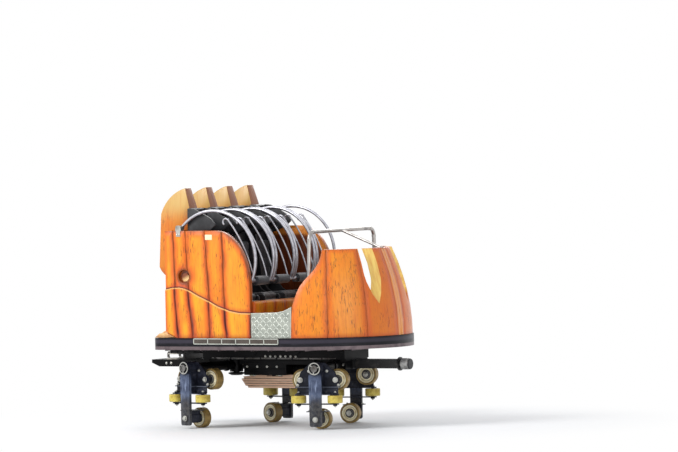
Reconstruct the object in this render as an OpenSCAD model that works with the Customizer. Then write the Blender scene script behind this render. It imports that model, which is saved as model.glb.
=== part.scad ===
// Roller coaster car with a plank-look cabin that turns on a slewing ring.
// Millimetres. +X is forward, +Y is the far (left) side, Z = 0 is under the up-stop wheels.

/* [Track] */
// Height of the middle of the track tube
rail_z = 292; // [288:1:296]
// Radius of the track tube
rail_r = 80; // [76:1:82]
// Middle of each track tube from the middle of the car
rail_y = 490; // [470:5:510]

/* [Wheels] */
// Road wheel radius
road_r = 103; // [95:1:108]
// Road wheel width
road_w = 90; // [70:1:96]
// Road wheels ahead of and behind the arm
road_dx = 176; // [165:1:190]
// Guide wheel radius
guide_r = 73; // [60:1:78]
// Guide wheel height
guide_h = 72; // [50:1:84]
// Guide wheels ahead of and behind the arm
guide_dx = 182; // [165:1:195]
// Up-stop wheel radius
stop_r = 98; // [85:1:102]
// Up-stop wheel width
stop_w = 84; // [60:1:96]
// Angle the axles stand at, as in the bend of the photograph
steer_rest = 14; // [0:1:20]

/* [Chassis] */
// Distance from the middle to each bumper's end
reach = 1405; // [1350:5:1450]
// Kingpin of each axle, ahead of and behind the middle
axle_x = 560; // [540:5:580]
// Height of the axle beams above the road wheels' middles
beam_up = 112; // [105:1:116]
// Radius of the axle beams
beam_r = 45; // [35:1:50]
// Radius of the kingpins
pin_r = 30; // [20:1:36]
// Underside of the chassis tubes
tube_z = 655; // [652:1:665]
// Height of the chassis tubes
tube_h = 85; // [70:1:85]
// Distance of the chassis tubes from the middle
tube_y = 200; // [180:5:220]
// Width of the chassis tubes
tube_w = 60; // [40:1:70]
// Half length of the chassis tubes
tube_x = 800; // [780:5:840]
// Radius of the front buffer
buffer_r = 53.5; // [40:0.5:60]
// Half width of the rear target plate
target_y = 200; // [150:5:230]

/* [Deck] */
// Underside of the deck
deck_z = 770; // [768:1:780]
// Height of the deck
deck_h = 115; // [100:1:125]
// Half width of the deck, and radius of its nose
deck_r = 840; // [835:1:860]
// Middle of the round nose
nose_x = 475; // [450:5:500]
// Rear edge of the deck
deck_back = -1010; // [-1040:5:-1000]
// Thickness of the rubber skirt
skirt_t = 40; // [20:1:60]

/* [Cabin] */
// Side panels' outer face in from the deck's edge
panel_in = 25; // [20:1:28]
// Thickness of the side panels
panel_t = 45; // [30:1:46]
// How far the side panels' lower skirt stands out
skirt_out = 14; // [8:1:16]
// Front edge of the side panels
panel_front = 105; // [90:1:115]
// Rear edge of the side panels
panel_back = -845; // [-850:1:-840]
// Top of the side panels
panel_z = 1920; // [1900:1:1925]
// Depth of the joints between boards
joint_d = 6; // [2:0.5:10]
// Width of the joints between boards
joint_w = 8; // [4:0.5:14]
// Front shell's foot in from the deck's edge
shell_in = 10; // [8:1:30]
// How far the front shell leans in at its top
shell_lean = 190; // [150:5:210]
// Thickness of the front shell
shell_t = 55; // [30:1:60]
// Top of the front shell
shell_z = 1725; // [1700:1:1760]
// Top of the horns behind the seats
horn_z = 2328; // [2300:1:2360]
// Thickness of the rear wall
wall_t = 50; // [30:1:55]

/* [Seats] */
// Side of a seat in from the edge of its share of the width
seat_in = 48; // [47:1:60]
// Top of the seats' base
base_z = 1180; // [1160:1:1185]
// Front of the seats' base
base_front = 130; // [110:1:140]

/* [Restraints] */
// Hinge of the hoops, along the car
hinge_x = -690; // [-696:1:-684]
// Hinge of the hoops, height
hinge_z = 1948; // [1944:1:1960]
// Radius of the hinge pins
hinge_r = 9; // [6:0.5:12]
// Radius of the hoop's bend
hoop_r = 470; // [462:1:480]
// Radius of the hoop's tube
tube_r = 15; // [10:0.5:17]
// Hoop's arms in from the edge of their seat's share of the width
arm_share = 23; // [21:1:25]

/* [Handrail] */
// Place of the handrail along the car
rail_x = 660; // [640:5:680]
// Height of the handrail's middle over the front shell
rail_up = 171; // [150:1:200]
// Handrail's top in from the foot of the front shell
rail_in = 213; // [205:1:250]
// Radius of the handrail's tube
rail_tube = 19; // [12:0.5:22]

/* [Hidden] */
$fn = 48;
// Bores are this much larger than their pins, in radius
fit = 0.05;
// Soft and curved faces stand this far apart
gap = 0.3;
// Turning parts keep this far from others
clear = 5.5;

road_z = rail_z + rail_r + road_r;
beam_z = road_z + beam_up;
guide_y = rail_y + rail_r + guide_r + 2;
deck_top = deck_z + deck_h;
panel_y = deck_r - panel_in;
shell_r = deck_r - shell_in;
rail_top = shell_z + rail_up;
rail_half = shell_r - rail_in;
seat_pitch = (deck_r - panel_in - panel_t) / 2 + 1;
seat_half = seat_pitch / 2 - seat_in;
arm_off = seat_pitch / 2 - arm_share;
seat_y = [for (i = [-1.5, -0.5, 0.5, 1.5]) i * seat_pitch];

// name, axle (+1 front, -1 rear), side (-1 near, +1 far)
BOGIES = [for (a = [1, -1]) for (s = [-1, 1])
    [str(a > 0 ? "front_" : "rear_", s < 0 ? "near_bogie" : "far_bogie"), a, s]];

// name, axle (+1 front, -1 rear), side (-1 near, +1 far), kind, along (-1 aft, +1 fore, 0 middle)
WHEELS = [for (a = [1, -1]) for (s = [-1, 1])
    for (k = [["road_wheel_fore", "road", 1], ["road_wheel_aft", "road", -1],
              ["guide_wheel_fore", "guide", 1], ["guide_wheel_aft", "guide", -1],
                  ["upstop_wheel", "stop", 0]])
        [str(a > 0 ? "front_" : "rear_", s < 0 ? "near_" : "far_", k[0]), a, s, k[1], k[2]]];

module rod_x(r, x0, x1, y, z) translate([x0, y, z]) rotate([0, 90, 0]) cylinder(r = r, h = x1 - x0);
module rod_y(r, x, y0, y1, z) translate([x, y0, z]) rotate([-90, 0, 0]) cylinder(r = r, h = y1 - y0);
module rod_z(r, x, y, z0, z1) translate([x, y, z0]) cylinder(r = r, h = z1 - z0);
module block(x0, x1, y0, y1, z0, z1) translate([x0, y0, z0]) cube([x1 - x0, y1 - y0, z1 - z0]);
// A drawing in x and z, made solid between two distances across the car
module across(y0, y1) translate([0, y1, 0]) rotate([90, 0, 0]) linear_extrude(y1 - y0) children();
// A drawing in y and z, made solid between two distances along the car
module along(x0, x1) translate([x0, 0, 0]) rotate([90, 0, 90]) linear_extrude(x1 - x0) children();
module both_sides() { children(); mirror([0, 1, 0]) children(); }
module at_axle(a) translate([a * axle_x, 0, 0]) rotate([0, 0, a * steer_rest]) children();
// Part of a ring in the x-z plane, at one distance across the car
module bent_tube(cx, y, cz, bend_r, r, a0, a1) translate([cx, y, cz]) rotate([90, 0, 0])
    rotate([0, 0, a0])
    rotate_extrude(angle = a1 - a0, $fn = 64) translate([bend_r, 0]) circle(r, $fn = 24);

function unit(v) = v / norm(v);
// A drawing with its corners rounded: each row is x, y, radius
function rounded(p, n = 5) = [for (i = [0:len(p) - 1]) let (
        a = p[(i + len(p) - 1) % len(p)], b = p[i], c = p[(i + 1) % len(p)], r = b[2],
        u = unit([a[0] - b[0], a[1] - b[1]]), v = unit([c[0] - b[0], c[1] - b[1]]),
        h = acos(u * v) / 2, m = [b[0], b[1]] + unit(u + v) * r / sin(h),
        s = [b[0], b[1]] + u * r / tan(h) - m, turn = (180 - 2 * h) * (cross(u, v) > 0 ? -1 : 1))
    each r == 0 ? [[b[0], b[1]]] : [for (k = [0:n]) let (t = turn * k / n)
        m + [s[0] * cos(t) - s[1] * sin(t), s[0] * sin(t) + s[1] * cos(t)]]];
function arc(cx, cz, r, a0, a1, n) = [for (i = [0:n]) let (a = a0 + (a1 - a0) * i / n)
    [cx + r * cos(a), cz + r * sin(a)]];

// Chassis
tube_top = tube_z + tube_h;
tube_in = tube_y - tube_w / 2;
tube_out = tube_y + tube_w / 2;
plate_z = tube_top + 8;
plate_r = 275;
beam_low = beam_z - 29;
beam_top = tube_z - 5;

module chassis_frame() color([0.05, 0.05, 0.06]) {
    both_sides() block(-tube_x, tube_x, tube_in, tube_out, tube_z, tube_top);
    for (x = [-axle_x, axle_x]) block(x - 50, x + 50, -tube_in - 1, tube_in + 1, tube_z, tube_top);
    // End members hang down to carry the bumpers
    for (a = [-1, 1]) {
        block(a > 0 ? tube_x - 60 : -tube_x, a > 0 ? tube_x : 60 - tube_x, -tube_in - 1, tube_in + 1,
            tube_z, tube_top);
        block(a > 0 ? tube_x - 60 : -tube_x, a > 0 ? tube_x : 60 - tube_x, -tube_out + 20, tube_out - 20,
              beam_low, tube_z + 1);
    }
    // Round seat of the slewing ring
    difference() {
        rod_z(plate_r, 0, 0, tube_top, plate_z);
        rod_z(130, 0, 0, tube_top - 1, plate_z + 1);
    }
    // Kingpins with their dished caps
    for (a = [-1, 1]) translate([a * axle_x, 0, 0]) {
        rod_z(pin_r, 0, 0, beam_z - 85, tube_z + 5);
        rotate_extrude() polygon([[0, beam_z - 100], [52, beam_z - 100], [80, beam_z - 86],
            [80, beam_z - 76], [60, beam_z - 71],
            [0, beam_z - 71]]);
    }
    // Hanger plates on the outside of the tubes
    both_sides() for (x = [-230, 250]) across(tube_out - 1, tube_out + 8)
        polygon(rounded([[x - 62, tube_top, 4], [x - 18, tube_z + 35, 8], [x + 18, tube_z + 35, 8],
            [x + 62, tube_top, 4]]));
}

box_z = 495;

module equipment_box() color([0.06, 0.06, 0.07]) {
    block(-420, 420, -tube_in + gap, tube_in - gap, 600, tube_top - 5);
    across(-160, 160) polygon(rounded([[-378, box_z, 12], [100, box_z, 12], [100, 601, 0],
        [-378, 601, 0]]));
    // Motor and its end cover
    rod_x(52, 99, 300, 0, 552);
    rod_x(44, 299, 330, 0, 552);
    block(180, 240, -30, 30, 590, 601);
}

// Leaves of the skid: height of its underside, half length, half width
LEAVES = [[365, 395, 54], [386, 425, 60], [410, 445, 54], [432, 457, 60], [456, 440, 54]];
skid_top = 477;

module drive_skid() color([0.62, 0.38, 0.28]) {
    for (i = [0:len(LEAVES) - 1]) let (z = LEAVES[i][0], l = LEAVES[i][1], top = i < len(LEAVES)
        - 1 ? LEAVES[i + 1][0] : skid_top)
        across(-LEAVES[i][2], LEAVES[i][2])
            polygon(rounded([[-l, z, 10], [l, z, 10], [l + 12, top, 0], [-l - 12, top, 0]]));
    for (x = [-250, 50]) block(x - 60, x + 60, -50, 50, skid_top - 1, box_z);
}

module front_bumper() color([0.08, 0.08, 0.09]) {
    block(tube_x, tube_x + 14, -95, 95, beam_low + 2, beam_top);
    difference() {
        block(tube_x + 13, reach - 125, -60, 60, beam_low + 4, beam_top);
        block(tube_x + 20, reach - 140, -52, 52, beam_low + 12, beam_top - 8);
    }
    rod_x(buffer_r + 12, reach - 126, reach - 114, 0, beam_z + 18);
    rod_x(buffer_r - 14, reach - 115, reach - 90, 0, beam_z + 18);
    translate([reach, 0, beam_z + 18]) rotate([0, -90, 0]) rotate_extrude()
        polygon([[0, 0], [buffer_r - 12, 0],
        [buffer_r - 4, 4], [buffer_r, 12], [buffer_r, 28], [buffer_r + 1, 30], [buffer_r + 1, 92],
            [buffer_r - 3, 96], [0, 96]]);
}

module rear_bumper() color([0.07, 0.07, 0.08])
    across(-target_y, target_y) polygon([[-tube_x, beam_low + 18], [-reach + 85, beam_low + 18],
        [-reach, beam_z + 25],
        [-reach, beam_z + 57], [-tube_x, beam_z + 57]]);

module rear_bracket() color([0.7, 0.7, 0.7])
    across(-target_y + 20, target_y - 20)
        polygon([[-1250, beam_z + 57], [-1045, beam_z + 57], [-1045, beam_z + 116],
        [-1235, beam_z + 116], [-1235, beam_z + 108], [-1060, beam_z + 108], [-1060, beam_z + 67],
            [-1250, beam_z + 67]]);

// Slewing ring: the lower half is a flanged spigot, the upper half runs round it
ring_r = 245;
spigot_r = 200;
race_z = plate_z + 6 + clear;

module ring_lower() color([0.3, 0.3, 0.32]) rotate_extrude($fn = 72)
    polygon([[135, plate_z], [ring_r, plate_z], [ring_r, plate_z + 6], [spigot_r, plate_z + 6],
        [spigot_r, deck_z - clear],
        [135, deck_z - clear]]);

module ring_upper() color([0.3, 0.3, 0.32]) rotate_extrude($fn = 72)
    polygon([[spigot_r + fit, race_z], [ring_r + 5, race_z], [ring_r + 5, deck_z],
        [spigot_r + fit, deck_z]]);

// Axles and bogies
plate_in = rail_y + road_w / 2 + 53;
plate_out = plate_in + 12;
arm_in = guide_y + 35;
arm_out = arm_in + 30;
foot_z = road_z - 73;
spindle_r = 30;
cap_r = 42;
guide_top = rail_z + guide_h / 2 + clear;
guide_low = rail_z - guide_h / 2 - clear;
stop_in = rail_y + stop_w / 2 + 2 + clear;

module axle(a) at_axle(a) color([0.07, 0.07, 0.08]) difference() {
    union() {
        rod_y(beam_r, 0, -plate_in + 40, plate_in - 40, beam_z);
        rod_z(pin_r + 36, 0, 0, beam_z - 65, beam_z + 62);
        rod_y(beam_r + 10, 0, -150, -130, beam_z);
        rod_y(beam_r + 10, 0, 130, 150, beam_z);
        both_sides() {
            rod_y(spindle_r, 0, plate_in - 41, arm_out - 1, beam_z);
            rod_y(cap_r, 0, arm_out - 2 + gap, arm_out + 7, beam_z);
        }
    }
    rod_z(pin_r + fit, 0, 0, beam_z - 200, beam_z + 200);
}

module guide_plate(z) translate([0, 0, z]) linear_extrude(10) {
    translate([-guide_dx, plate_out + 6]) square([2 * guide_dx, arm_in + 1 - plate_out - 6]);
    for (x = [-guide_dx, guide_dx]) translate([x, guide_y]) circle(39);
}

module bogie_frame() difference() {
    union() {
        // Side plate, its foot turned out into a ledge, with a set-back web under it
        across(plate_in, plate_out) polygon(rounded([[-230, foot_z, 14], [230, foot_z, 14],
            [172, foot_z + 150, 40],
            [75, beam_z + 52, 24], [-75, beam_z + 52, 24], [-172, foot_z + 150, 40]]));
        block(-222, 222, plate_out - 1, plate_out + 26, foot_z, foot_z + 9);
        block(-204, 204, plate_out + 6, plate_out + 16, guide_top + 9, foot_z + 1);
        // Hub on the axle and the box that joins the plate to the arm
        rod_y(61.5, 0, plate_in - 26, arm_out + 9, beam_z);
        for (x = [-54, 42]) block(x, x + 12, plate_out - 1, arm_in + 1, guide_top + 1, beam_z - 20);
        block(-54, 54, plate_out - 1, arm_in + 1, foot_z - 18, foot_z - 6);
        // Hanging arm
        across(arm_in, arm_out) polygon(rounded([[-58, stop_r - 68, 20], [58, stop_r - 68, 20],
            [62, beam_z - 58, 4],
            [-62, beam_z - 58, 4]]));
        across(arm_in, arm_out - 6) translate([-50, beam_z - 60]) square([100, 60]);
        // Plates above and below the guide wheels, and their pins
        guide_plate(guide_top);
        guide_plate(guide_low - 10);
        for (x = [-guide_dx, guide_dx]) {
            rod_z(14, x, guide_y, guide_low - 20, guide_top + 20);
            rod_z(21, x, guide_y, guide_low - 22, guide_low - 9);
            rod_z(21, x, guide_y, guide_top + 9, guide_top + 22);
        }
        // Road wheel pins with their hubs
        for (x = [-road_dx, road_dx]) {
            rod_y(36, x, rail_y + road_w / 2 + 2 + clear, plate_in + 1, road_z);
            rod_y(28, x, plate_out - 1, plate_out + 9, road_z);
            rod_y(20, x, rail_y - road_w / 2 - 12, plate_in + 1, road_z);
            rod_y(32, x, rail_y - road_w / 2 - 2 - clear - 10, rail_y - road_w / 2 - 2 - clear, road_z);
        }
        // Up-stop wheel bracket, pin and the plate above it
        across(stop_in, arm_in + 1) polygon(rounded([[-46, stop_r - 46, 24], [46, stop_r - 46, 24],
            [46, stop_r + 46, 24],
            [-46, stop_r + 46, 24]]));
        block(-98, 98, stop_in + 8, arm_in + 1, stop_r + 72, stop_r + 80);
        for (x = [-40, 32]) block(x, x + 8, stop_in + 8, arm_in + 1, stop_r + 40, stop_r + 73);
        rod_y(20, 0, rail_y - stop_w / 2 - 12, stop_in + 1, stop_r);
        rod_y(32, 0, rail_y - stop_w / 2 - 2 - clear - 10, rail_y - stop_w / 2 - 2 - clear, stop_r);
        rod_y(33, 0, arm_out - 1, arm_out + 8, stop_r);
    }
    rod_y(spindle_r + fit, 0, plate_in - 60, arm_out + 20, beam_z);
    rod_y(cap_r + 6, 0, arm_out - 2, arm_out + 20, beam_z);
}

module bogie(b) at_axle(b[1]) color([0.12, 0.13, 0.17]) mirror([0, b[2] > 0 ? 0 : 1, 0]) bogie_frame();

// Half section of a road or up-stop wheel: radius, then width. Hub, set-back disc, face ring, tread
module wheel_section(r, w) polygon([[20 + fit, -w / 2 - 2], [36, -w / 2 - 2], [40, -w / 2 + 6],
    [r - 42, -w / 2 + 12],
    [r - 33, -w / 2 + 12], [r - 31, -w / 2 + 2], [r - 14, -w / 2], [r - 7, -w / 2], [r, -w / 2 + 7],
    [r, w / 2 - 7], [r - 7, w / 2], [r - 14, w / 2], [r - 31, w / 2 - 2], [r - 33, w / 2 - 12],
        [r - 42, w / 2 - 12],
    [40, w / 2 - 6], [36, w / 2 + 2], [20 + fit, w / 2 + 2]]);

module guide_section(r, h) polygon([[14 + fit, -h / 2], [34, -h / 2], [36, -h / 2 + 8],
    [r - 22, -h / 2 + 8], [r - 20, -h / 2],
    [r - 5, -h / 2], [r, -h / 2 + 5], [r, h / 2 - 5], [r - 5, h / 2], [r - 20, h / 2],
        [r - 22, h / 2 - 8],
    [36, h / 2 - 8], [34, h / 2], [14 + fit, h / 2]]);

module wheel(w) color(w[3] == "guide" ? [0.82, 0.74, 0.25] : [0.62, 0.52, 0.26])
    at_axle(w[1]) mirror([0, w[2] > 0 ? 0 : 1, 0]) {
        if (w[3] == "guide") translate([w[4] * guide_dx, guide_y, rail_z]) rotate_extrude()
            guide_section(guide_r, guide_h);
        else translate([w[4] * road_dx, rail_y, w[3] == "road" ? road_z : stop_r]) rotate([90, 0, 0])
            rotate_extrude()
            wheel_section(w[3] == "road" ? road_r : stop_r, w[3] == "road" ? road_w : stop_w);
    }

// Deck
rim_h = 33;

module outline(i) {
    rc = 100 - i;
    translate([nose_x, 0]) circle(deck_r - i, $fn = 96);
    translate([deck_back + i + rc, -deck_r + i]) square([nose_x - deck_back - i - rc, 2 * (deck_r - i)]);
    translate([deck_back + i, -deck_r + i + rc]) square([nose_x - deck_back - i, 2 * (deck_r - i - rc)]);
    for (s = [-1, 1]) translate([deck_back + i + rc, s * (deck_r - i - rc)]) circle(rc);
}

module platform_deck() color([0.55, 0.56, 0.58]) {
    translate([0, 0, deck_z]) linear_extrude(rim_h) outline(0);
    translate([0, 0, deck_z + rim_h - 1]) linear_extrude(deck_h - rim_h + 1) outline(skirt_t);
}

module platform_skirt() color([0.2, 0.2, 0.22])
    translate([0, 0, deck_z + rim_h]) linear_extrude(deck_h - rim_h - 2) difference()
        { outline(0); outline(skirt_t - gap); }

module step_plates() color([0.75, 0.76, 0.77]) both_sides()
    across(deck_r, deck_r + 6) polygon(rounded([[-530, deck_top - 63, 4], [430, deck_top - 63, 4],
        [430, deck_top, 4],
        [-530, deck_top, 4]], 3));

// Side panels. Height of the wavy ledge: x, z
LEDGE = [[panel_back, 1352], [-770, 1368], [-688, 1371], [-630, 1360], [-580, 1342], [-474, 1288],
    [-367, 1243], [-252, 1186],
    [-127, 1145], [-20, 1126], [panel_front, 1122]];
// Joints between the boards: x at the top, at the ledge, at the deck
JOINTS = [[-752, -738, -706], [-615, -584, -543], [-397, -356, -350], [-200, -189, -159]];
curve_x = 375;
curve_z = 560;
root_x = -720;
root_z = 950;

module panel_drawing() polygon(concat([[root_x, deck_top], [panel_front, deck_top]],
    [for (i = [0:16]) let (t = 90 * i / 16)
        [panel_front - curve_x + curve_x * cos(t), panel_z - curve_z + curve_z * sin(t)]],
    [[panel_back, panel_z], [panel_back, root_z]]));

module joints(w) for (j = JOINTS)
    polygon([[j[0] - w / 2, panel_z + 1], [j[1] - w / 2, 1300], [j[2] - w / 2, deck_top - 1],
    [j[2] + w / 2, deck_top - 1], [j[1] + w / 2, 1300], [j[0] + w / 2, panel_z + 1]]);

module side_panels() color([0.95, 0.55, 0.12]) both_sides() difference() {
    union() {
        difference() {
            across(panel_y - panel_t, panel_y) panel_drawing();
            across(panel_y - joint_d, panel_y + 1) joints(joint_w);
        }
        difference() {
            across(panel_y - joint_d - 1, panel_y + skirt_out)
                polygon(concat([[panel_front, deck_top], [root_x, deck_top], [panel_back, root_z]],
                    LEDGE));
            across(panel_y + skirt_out - joint_d, panel_y + skirt_out + 1) joints(joint_w);
        }
    }
    // Knot hole with the knot left standing in it
    difference() {
        rod_y(65, -635, panel_y - 34, panel_y + 30, 1480);
        rod_y(38, -627, panel_y - 40, panel_y - 14, 1472);
    }
}

inner_y = panel_y - panel_t - gap;
wall_x = panel_back - 5;
wall_front = wall_x + wall_t;

module rear_panel() color([0.75, 0.35, 0.1]) difference() {
    block(wall_x, wall_front, -inner_y, inner_y, deck_top, panel_z);
    for (y = [-0.75, -0.45, -0.15, 0.15, 0.45, 0.75])
        block(wall_x - 1, wall_x + joint_d, y * inner_y - joint_w / 2,
        y * inner_y + joint_w / 2, deck_top - 1, panel_z + 1);
}

horn_x = -715;
horn_r = 360;

module rear_staves() color([0.95, 0.6, 0.2]) for (y = seat_y) translate([0, y, 0]) intersection() {
    across(-160, 160) polygon(concat([[wall_x - 15, 1455], [wall_x - gap, 1455],
        [wall_x - gap, panel_z + gap],
        [-660, panel_z + gap], [-660, horn_z - 180]],
        arc(horn_x + 80, horn_z - 351, horn_r, 102.8, 163.4, 10),
            [[-980, 1570], [-962, 1530], [-930, 1492]]));
    along(-1000, -600) polygon([[-105, 1450], [105, 1450], [128, 1560], [92, 1950], [55, horn_z + 1],
        [-55, horn_z + 1], [-92, 1950],
        [-128, 1560]]);
}

root_back = deck_back + 35;
// Heights of the roots along the stump at the rear, above the deck
ROOTS = [46, 74, 52, 88, 60, 79, 45, 92, 58, 72, 50, 84, 56, 76, 44];

module stump_skirt() color([0.85, 0.62, 0.4]) intersection() {
    union() {
        across(-inner_y - panel_t + 1, inner_y + panel_t - 1)
            polygon([[wall_x - gap, deck_top], [wall_x - gap, root_z + 40], [-900, deck_top + 70],
                [root_back, deck_top + 8], [root_back, deck_top]]);
        both_sides() across(panel_y - 30, panel_y + skirt_out + 5)
            polygon([[root_back, deck_top], [root_x - 8, deck_top], [panel_back - 4, root_z - 6],
                [-900, deck_top + 60], [root_back, deck_top + 8]]);
    }
    along(-1000, -600) polygon(concat([[deck_r, deck_top], [-deck_r, deck_top]],
        [for (i = [0:len(ROOTS) - 1]) [-deck_r + 2 * deck_r * i / (len(ROOTS) - 1),
            deck_top + ROOTS[i]]]));
}

// Front shell: how far it leans in at a height
function lean(z) = shell_lean * pow((z - deck_top) / (shell_z - deck_top), 2);
SHELL_Z = [for (i = [0:6]) deck_top + (shell_z - deck_top) * i / 6];
// Rear edge of the front shell: x, z
EDGE = [[560, 1190], [578, 1258], [597, 1322], [622, 1382], [656, 1434], [700, 1488], [742, 1548],
    [764, 1608], [771, 1670], [766, shell_z + 75]];

module shell_solid(out, t) translate([nose_x, 0, 0]) rotate_extrude($fn = 96) polygon(concat(
    [for (z = SHELL_Z) [shell_r - out - lean(z), z]],
    [for (i = [len(SHELL_Z) - 1:-1:0]) [shell_r - out - t - lean(SHELL_Z[i]), SHELL_Z[i]]]));

module front_shell() color([0.95, 0.55, 0.12]) difference() {
    shell_solid(0, shell_t);
    block(-500, EDGE[0][0], -deck_r, deck_r, deck_z, shell_z + 1);
    across(-deck_r, deck_r) polygon(concat(EDGE, [[0, shell_z + 75], [0, EDGE[0][1]]]));
    // Split between the second and third board: one side goes straight in, the other slants forward
    both_sides() translate([nose_x, 0, 0]) intersection() {
        rotate([0, 0, 30]) along(0, deck_r) polygon([[6, shell_z + 10], [-8, 1470], [-21, 1409], [-70, 1290],
            [-141, 1193], [-500, 1193], [-500, shell_z + 10]]);
        rotate([0, 0, -38]) along(0, deck_r) polygon([[682, 1193], [603, 1409], [515, 1715],
            [512, shell_z + 10], [deck_r, shell_z + 10], [deck_r, 1193]]);
    }
    both_sides() translate([nose_x, 0, 0]) {
        // Joints between the boards
        for (a = [59, 31.5, 0]) intersection() {
            rotate([0, 0, a]) block(300, 900, -joint_w / 2, joint_w / 2, deck_top - 1, shell_z + 1);
            translate([-nose_x, 0, 0]) shell_solid(-10, 10 + joint_d);
        }
    }
}

dash_z = 1200;

module dash_panel() color([0.45, 0.22, 0.1]) intersection() {
    union() {
        block(780, 800, -shell_r, shell_r, deck_top, dash_z);
        block(780, nose_x + shell_r, -shell_r, shell_r, dash_z - 20, dash_z);
    }
    translate([nose_x, 0, 0]) rod_z(shell_r - shell_t - lean(dash_z) - 1, 0, 0, deck_top, dash_z + 10,
        $fn = 96);
}

module sill_plates() color([0.8, 0.82, 0.82]) both_sides() across(panel_y - 20, panel_y - 2)
    polygon([[panel_front + gap, deck_top], [EDGE[0][0] - gap, deck_top],
        [EDGE[0][0] - gap, EDGE[0][1] - 3], [520, 1165], [470, 1144],
        [400, 1131], [panel_front + gap, 1126]]);

// Handrail: its posts lean out a little towards the deck, and a brace runs to a tab on the shell
bend_r = 80;
post_lean = 2.4;
tab_x = nose_x + shell_r - shell_lean - shell_t;
brace_fall = atan((rail_top - shell_z - 6) / (tab_x + 20 - rail_x));

module handrail() color([0.8, 0.82, 0.84]) {
    difference() {
        both_sides() translate([rail_x, rail_half - bend_r, rail_top - bend_r]) {
            rotate([90, 0, 90]) rotate([0, 0, post_lean + 1]) rotate_extrude(angle = 88 - post_lean)
                translate([bend_r, 0]) circle(rail_tube);
            // Post, with a sleeve over each end of the bend
            rotate([post_lean, 0, 0]) translate([0, bend_r, 0]) rotate([180, 0, 0]) {
                translate([0, 0, 1]) cylinder(r = rail_tube, h = 1200);
                translate([0, 0, -9]) cylinder(r = rail_tube + 2, h = 18);
            }
            rod_y(rail_tube + 2, 0, -9, 9, bend_r);
        }
        block(rail_x - 100, rail_x + 100, -deck_r, deck_r, 0, deck_top);
    }
    rod_y(rail_tube, rail_x, bend_r - rail_half + 1, rail_half - bend_r - 1, rail_top);
    intersection() {
        translate([rail_x, 0, rail_top]) rotate([0, 90 + brace_fall, 0]) cylinder(r = 14, h = 600);
        block(rail_x + 1, tab_x + 60, -50, 50, shell_z + gap, rail_top + 50);
    }
    block(tab_x - 5, tab_x + shell_t - 8, -26, 26, shell_z + gap, shell_z + 6);
}

// Seats
module seat_base() color([0.8, 0.45, 0.15]) {
    block(wall_front + gap, 12, -inner_y, inner_y, base_z - 20, base_z);
    across(-inner_y, inner_y) polygon(rounded([[base_front - 60, deck_top, 0],
        [base_front - 30, deck_top, 0],
        [base_front, base_z, 0], [base_front, base_z + 55, 25], [10, base_z + 55, 12],
            [10, base_z - 20, 0], [base_front - 30, base_z - 20, 0]]));
    for (y = [-inner_y, -9, inner_y - 18]) block(wall_front + gap, base_front - 50, y, y + 18, deck_top,
        base_z - 19);
}

// Moulded seats: pan and back, with side wings that close them in at the hips and at the head
wing_t = 22;
shell_half = seat_half - wing_t;
// Height of the pan's upper face
function pan_z(x) = base_z + 25 + 35 * (x + 540) / 535;

module seat_shells() color([0.1, 0.1, 0.11]) for (y = seat_y) translate([0, y, 0])
    across(-shell_half, shell_half)
        polygon(rounded([[-785, base_z + gap, 4], [-15, base_z + gap, 15], [-5, pan_z(-5), 18],
        [-540, pan_z(-540), 60], [-590, 1300, 60], [-622, 1850, 60], [-612, 2125, 12], [-648, 2140, 12],
        [-653, panel_z - 4, 4], [-700, panel_z - 12, 10], [-790, 1850, 20]]));

module seat_wings() color([0.1, 0.1, 0.11]) for (y = seat_y) translate([0, y, 0]) both_sides()
    across(shell_half, seat_half) {
        polygon(rounded([[-700, base_z + 10, 0], [-20, base_z + 10, 20], [-12, base_z + 105, 30],
            [-430, base_z + 110, 80],
            [-505, 1390, 60], [-545, 1700, 80], [-580, 1868, 30], [-660, 1868, 0], [-700, 1700, 0]]));
        polygon(rounded([[-640, 1850, 0], [-640, 2132, 0], [-560, 2128, 40], [-385, 2040, 40],
            [-322, 1972, 24],
            [-405, 1908, 50], [-560, 1850, 20]]));
    }

module seat_pads() color([0.16, 0.16, 0.17]) for (y = seat_y) translate([0, y, 0]) {
    h = shell_half - 4;
    across(-h, h) polygon(rounded([[-495, pan_z(-495) + gap, 6], [-30, pan_z(-30) + gap, 6],
        [-20, base_z + 105, 18], [-60, base_z + 122, 20],
        [-470, base_z + 92, 25], [-495, base_z + 70, 10]]));
    across(-h, h) polygon(rounded([[-591.5, 1335, 6], [-552, 1335, 16], [-575, 1785, 20],
        [-618.4, 1800, 6]]));
    across(-h, h) polygon(rounded([[-619.6, 1905, 6], [-588, 1915, 16], [-580, 2095, 16],
        [-612, 2105, 6]]));
}

// Restraints: two bent arms on a hinge, a bar across the lap, and two grips with hooked ends
hoop_up = 139;
hoop_end = -26;
hoop_x = hinge_x - hoop_r * cos(hoop_up);
hoop_z = hinge_z - hoop_r * sin(hoop_up);
lap_x = hoop_x + hoop_r * cos(hoop_end);
lap_z = hoop_z + hoop_r * sin(hoop_end);
lap_bar = tube_r + 2;
grip_off = arm_off - 45;
grip_r = 8;
grip_bend = 1321;
grip_a0 = 11.3;
grip_a1 = 39.8;
grip_x = lap_x - grip_bend * cos(grip_a0);
grip_z = lap_z - grip_bend * sin(grip_a0);
hook_r = 32;

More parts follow.
